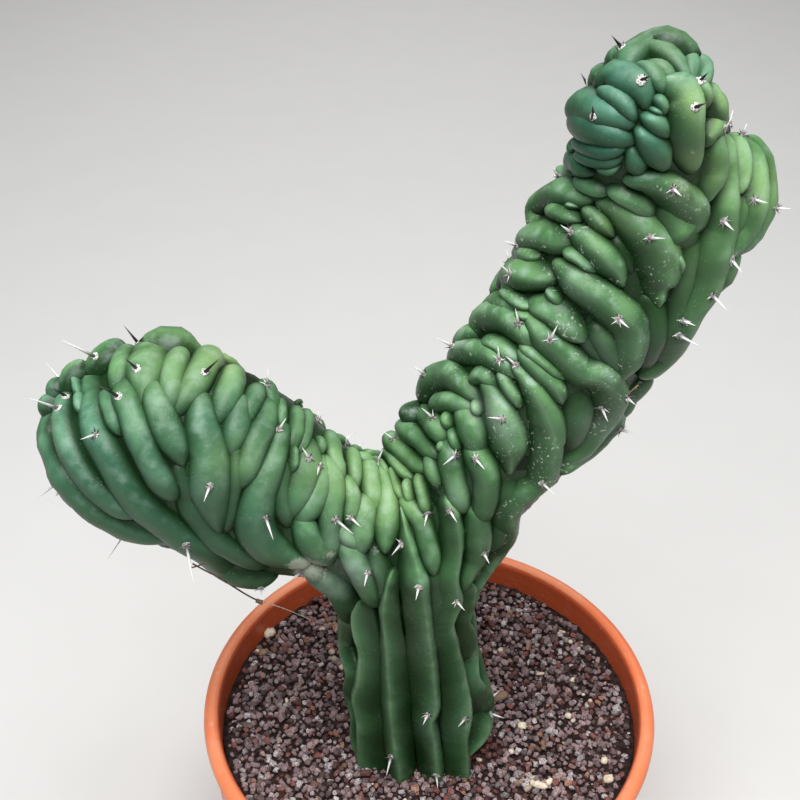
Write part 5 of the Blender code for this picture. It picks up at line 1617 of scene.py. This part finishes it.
def skin_flecks(skin, bloom):
    """White flecks in patches, and scratches where there is much bloom."""
    flecks = skin.ramp(skin.spots(2.0), 0.07, 0.19, 1.0, 0.0)
    flecks = skin.times(flecks, skin.ramp(skin.noise(11, 3.0), 0.46, 0.60))
    flecks = skin.times(flecks, skin.between(bloom, 0.08, 0.4))
    scratches = skin.ramp(skin.noise(1.7, 9.0), 0.60, 0.68)
    scratches = skin.times(scratches, skin.ramp(skin.noise(14, 2.0), 0.48, 0.62))
    scratches = skin.times(scratches, skin.ramp(bloom, 0.6, 1.0, 0.0, 0.55))
    return skin.combine("MAXIMUM", flecks, scratches)


def skin_material():
    skin = Recipe("cactus_skin_finish", 0.5, 0.28)
    cloudy = skin.ramp(skin.noise(15, 4.0), 0.36, 0.64)
    # How far the skin faces up, which the painted light follows.
    upper = skin.ramp(skin.mark("upper"), -0.4, 0.85)
    crown, bloom = skin.mark("crown"), skin.mark("bloom")
    colour = skin_greens(skin, cloudy, upper)
    # Painted shade in the creases: darker low by the core and down each lobe's sides.
    crease_shade = skin.combine("MAXIMUM", skin.ramp(crown, 0.3, 1.0, 0.95, 0.0),
                           skin.ramp(skin.mark("ridge"), 0.25, 1.0, 0.92, 0.0))
    colour = skin.mix(crease_shade, colour, CREASE_SHADE_GREEN)
    # A pale line along the keel, partly a painted highlight.
    keel = skin.times(skin.mark("keel"), skin.between(cloudy, 0.5, 1.0))
    colour = skin.mix(keel, colour, KEEL_PALE_AND_HIGHLIGHT)
    bloom_and_sheen = skin_bloom_and_sheen(skin, cloudy, upper, crown, bloom)
    # White bloom, and a painted sheen where the skin faces up.
    colour = skin.mix(bloom_and_sheen, colour, BLOOM_AND_SHEEN_WHITE)
    colour = skin.mix(skin_flecks(skin, bloom), colour, FLECK_WHITE)
    corky = skin.combine("ADD", skin.mark("scurf"), skin.noise(1.3, 6.0))
    corky = skin.ramp(corky, 1.12, 1.45, 0.0, 0.6)
    colour = skin.mix(corky, colour, SCURF_GREY)
    relief = skin.combine("ADD", skin.noise(2.2, 4.0), skin.times(corky, skin.noise(0.7, 3.0)))
    skin.bump(relief, 0.25)
    rough = skin.ramp(skin.combine("ADD", bloom_and_sheen, corky), 0.0, 0.6, 0.40, 0.68)
    return skin.done(colour, rough)


def spine_material():
    spine = Recipe("spine_finish", 0.42, 0.5)
    along, dark = spine.mark("along"), spine.mark("dark")
    pale = spine.mix(spine.ramp(along, 0.05, 0.40), SPINE_BASE, SPINE_PALE)
    pale = spine.mix(spine.ramp(spine.noise(1.2, 3.0), 0.35, 0.7, 0.0, 0.4), pale, SPINE_GREY)
    black = spine.mix(spine.ramp(along, 0.75, 1.0), SPINE_BLACK, SPINE_BROWN)
    spine.bump(spine.noise(0.5, 2.0), 0.08)
    return spine.done(spine.mix(spine.ramp(dark, 0.1, 0.8), pale, black))


def wool_material(name, colour):
    wool = Recipe(name + "_finish", 0.95, 0.1)
    wool.shader.inputs["Sheen Weight"].default_value = WOOL_SHEEN
    wool.bump(wool.noise(0.35, 4.0), 0.35)
    patches = wool.ramp(wool.noise(0.8, 4.0), 0.35, 0.62)
    return wool.done(wool.mix(patches, darker(colour, WOOL_SHADE), colour))


def pot_material():
    plastic = Recipe("terracotta_plastic_finish", 0.42, 0.5)
    shade = plastic.ramp(plastic.noise(45, 3.0), 0.3, 0.7)
    colour = plastic.mix(shade, POT_ORANGE, POT_ORANGE_LIGHT)
    # Painted shade on the inner wall.
    colour = plastic.mix(plastic.mark("inside"), colour, POT_INSIDE_SHADE)
    scuffs = plastic.noise(1.6, 6.0, SCUFF_STRETCH)
    scuffs = plastic.ramp(scuffs, 0.58, 0.72, 0.0, 0.45)
    colour = plastic.mix(scuffs, colour, POT_SCUFF)
    dust = plastic.ramp(plastic.noise(7, 7.0), 0.58, 0.78, 0.0, 0.28)
    colour = plastic.mix(dust, colour, POT_DUST)
    plastic.bump(plastic.noise(3.0, 5.0), 0.10)
    return plastic.done(colour, plastic.ramp(plastic.noise(12, 4.0), 0.35, 0.7, 0.36, 0.52))


def grain_material(name):
    grain = Recipe(name + "_finish", 0.8, 0.35)
    tint = grain.mark("tint")
    colour = grain.mix(grain.ramp(tint, 0.30, 0.34), LAVA_PURPLE, LAVA_BROWN)
    colour = grain.mix(grain.ramp(tint, 0.62, 0.66), colour, LAVA_GREY)
    colour = grain.mix(grain.ramp(tint, 0.82, 0.84), colour, LAVA_RED)
    colour = grain.mix(grain.ramp(tint, 0.95, 0.96), colour, LAVA_ORANGE)
    # Painted shade in the lava's pits.
    pits = grain.ramp(grain.spots(0.9), 0.15, 0.45)
    colour = grain.mix(pits, darker(LAVA_PURPLE, PIT_SHADE), colour)
    dust = grain.ramp(grain.noise(1.3, 5.0), 0.52, 0.74, 0.0, 0.3)
    colour = grain.mix(dust, colour, LAVA_DUST)
    # Painted shade on the grains' lower sides, and whole grains dimmed at random.
    colour = grain.mix(grain.ramp(grain.mark("low"), 0.0, 0.6, 0.0, 0.95), colour, LAVA_SHADE)
    grain.bump(grain.combine("ADD", grain.noise(0.8, 4.0), pits), 0.30)
    return grain.done(colour)


def pebble_material():
    pebble = Recipe("pebble_finish", 0.62, 0.4)
    colour = pebble.mix(pebble.ramp(pebble.mark("tint"), 0.2, 0.95), PEBBLE_BROWN, PEBBLE_CREAM)
    stains = pebble.ramp(pebble.noise(1.8, 5.0), 0.45, 0.75, 0.0, 0.5)
    colour = pebble.mix(stains, colour, PEBBLE_BROWN)
    pebble.bump(pebble.noise(0.9, 4.0), 0.15)
    return pebble.done(colour)


def bed_material(name, dark, light, size):
    """What lies under the grains: the potting mix, and the gravel bed, whose dark colours are
    painted shade in the gaps.
    """
    bed = Recipe(name + "_finish", 0.95, 0.2)
    colour = bed.mix(bed.ramp(bed.noise(size, 5.0), 0.35, 0.65), dark, light)
    bed.bump(bed.noise(size * 0.6, 5.0), 0.6)
    return bed.done(colour)


def make_strand(name, points, radius, material):
    """A thin fibre, thread or straw along these points, in mm."""
    curve = bpy.data.curves.new(name, "CURVE")
    curve.dimensions = "3D"
    curve.bevel_depth = radius * MM
    curve.bevel_resolution = 2
    curve.use_fill_caps = True
    curve.resolution_u = 6
    spline = curve.splines.new("NURBS")
    spline.points.add(len(points) - 1)
    for point, place in zip(spline.points, points):
        point.co = (*(Vector(place) * MM), 1.0)
    spline.use_endpoint_u = True
    spline.order_u = 3
    shape = bpy.data.objects.new(name, curve)
    bpy.context.scene.collection.objects.link(shape)
    graph = bpy.context.evaluated_depsgraph_get()
    mesh = bpy.data.meshes.new_from_object(shape.evaluated_get(graph))
    bpy.data.objects.remove(shape, do_unlink=True)
    obj = bpy.data.objects.new(name, mesh)
    bpy.context.scene.collection.objects.link(obj)
    mesh.shade_smooth()
    hand_over(obj, material)


def plain_material(name, dark, light, size, roughness):
    finish = Recipe(name + "_finish", roughness, 0.3)
    colour = finish.mix(finish.ramp(finish.noise(size, 4.0), 0.35, 0.65), dark, light)
    finish.bump(finish.noise(size * 0.5, 3.0), 0.1)
    return finish.done(colour)


def make_camera():
    lens = bpy.data.cameras.new("camera")
    lens.lens = LENS
    camera = bpy.data.objects.new("camera", lens)
    camera.location = CAMERA_PLACE
    camera.rotation_euler = (CAMERA_TILT, 0.0, 0.0)
    bpy.context.scene.collection.objects.link(camera)
    bpy.context.scene.camera = camera


def make_lights():
    for name, place, aim, size, watts, colour in LIGHTS:
        light = bpy.data.lights.new(name, "AREA")
        light.size = size
        light.energy = watts
        light.color = colour
        obj = bpy.data.objects.new(name, light)
        obj.location = place
        obj.rotation_euler = (Vector(aim) - Vector(place)).to_track_quat("-Z", "Y").to_euler()
        bpy.context.scene.collection.objects.link(obj)
    world = bpy.data.worlds.new("studio")
    world.use_nodes = True
    sky = world.node_tree.nodes["Background"]
    sky.inputs["Color"].default_value = (*SKY_COLOUR, 1.0)
    sky.inputs["Strength"].default_value = SKY_STRENGTH
    bpy.context.scene.world = world
    bpy.context.scene.view_settings.view_transform = "Standard"


def make_floor():
    bm = bmesh.new()
    bmesh.ops.create_grid(bm, x_segments=1, y_segments=1, size=FLOOR_SIZE / 2)
    floor = new_object(bm, "studio_floor", smooth=False)
    finish = Recipe("studio_floor_finish", 0.8, 0.2)
    colour = finish.mix(finish.ramp(finish.noise(60, 2.0), 0.3, 0.7), FLOOR_PALE, FLOOR_PALER)
    floor.data.materials.append(finish.done(colour))


def dress_bed():
    """The CAD gravel and potting mix stay, under the loose grains; the gravel is coloured near
    black, as painted shade in the gaps between the grains.
    """
    beds = {
        "lava_gravel": bed_material("gravel_gap_shade", GAP_SHADE_DEEP, GAP_SHADE_SOFT, 3.0),
        "potting_mix": bed_material("potting_mix", SOIL_DARK, SOIL_LIGHT, 4.0),
    }
    for name, material in beds.items():
        bed = bpy.data.objects[name]
        for slot in bed.material_slots:
            slot.material = material
        if not bed.material_slots:
            bed.data.materials.append(material)


make_camera()
make_floor()
make_lights()
make_pot()
make_cactus()
make_gravel()
make_strands()
dress_bed()
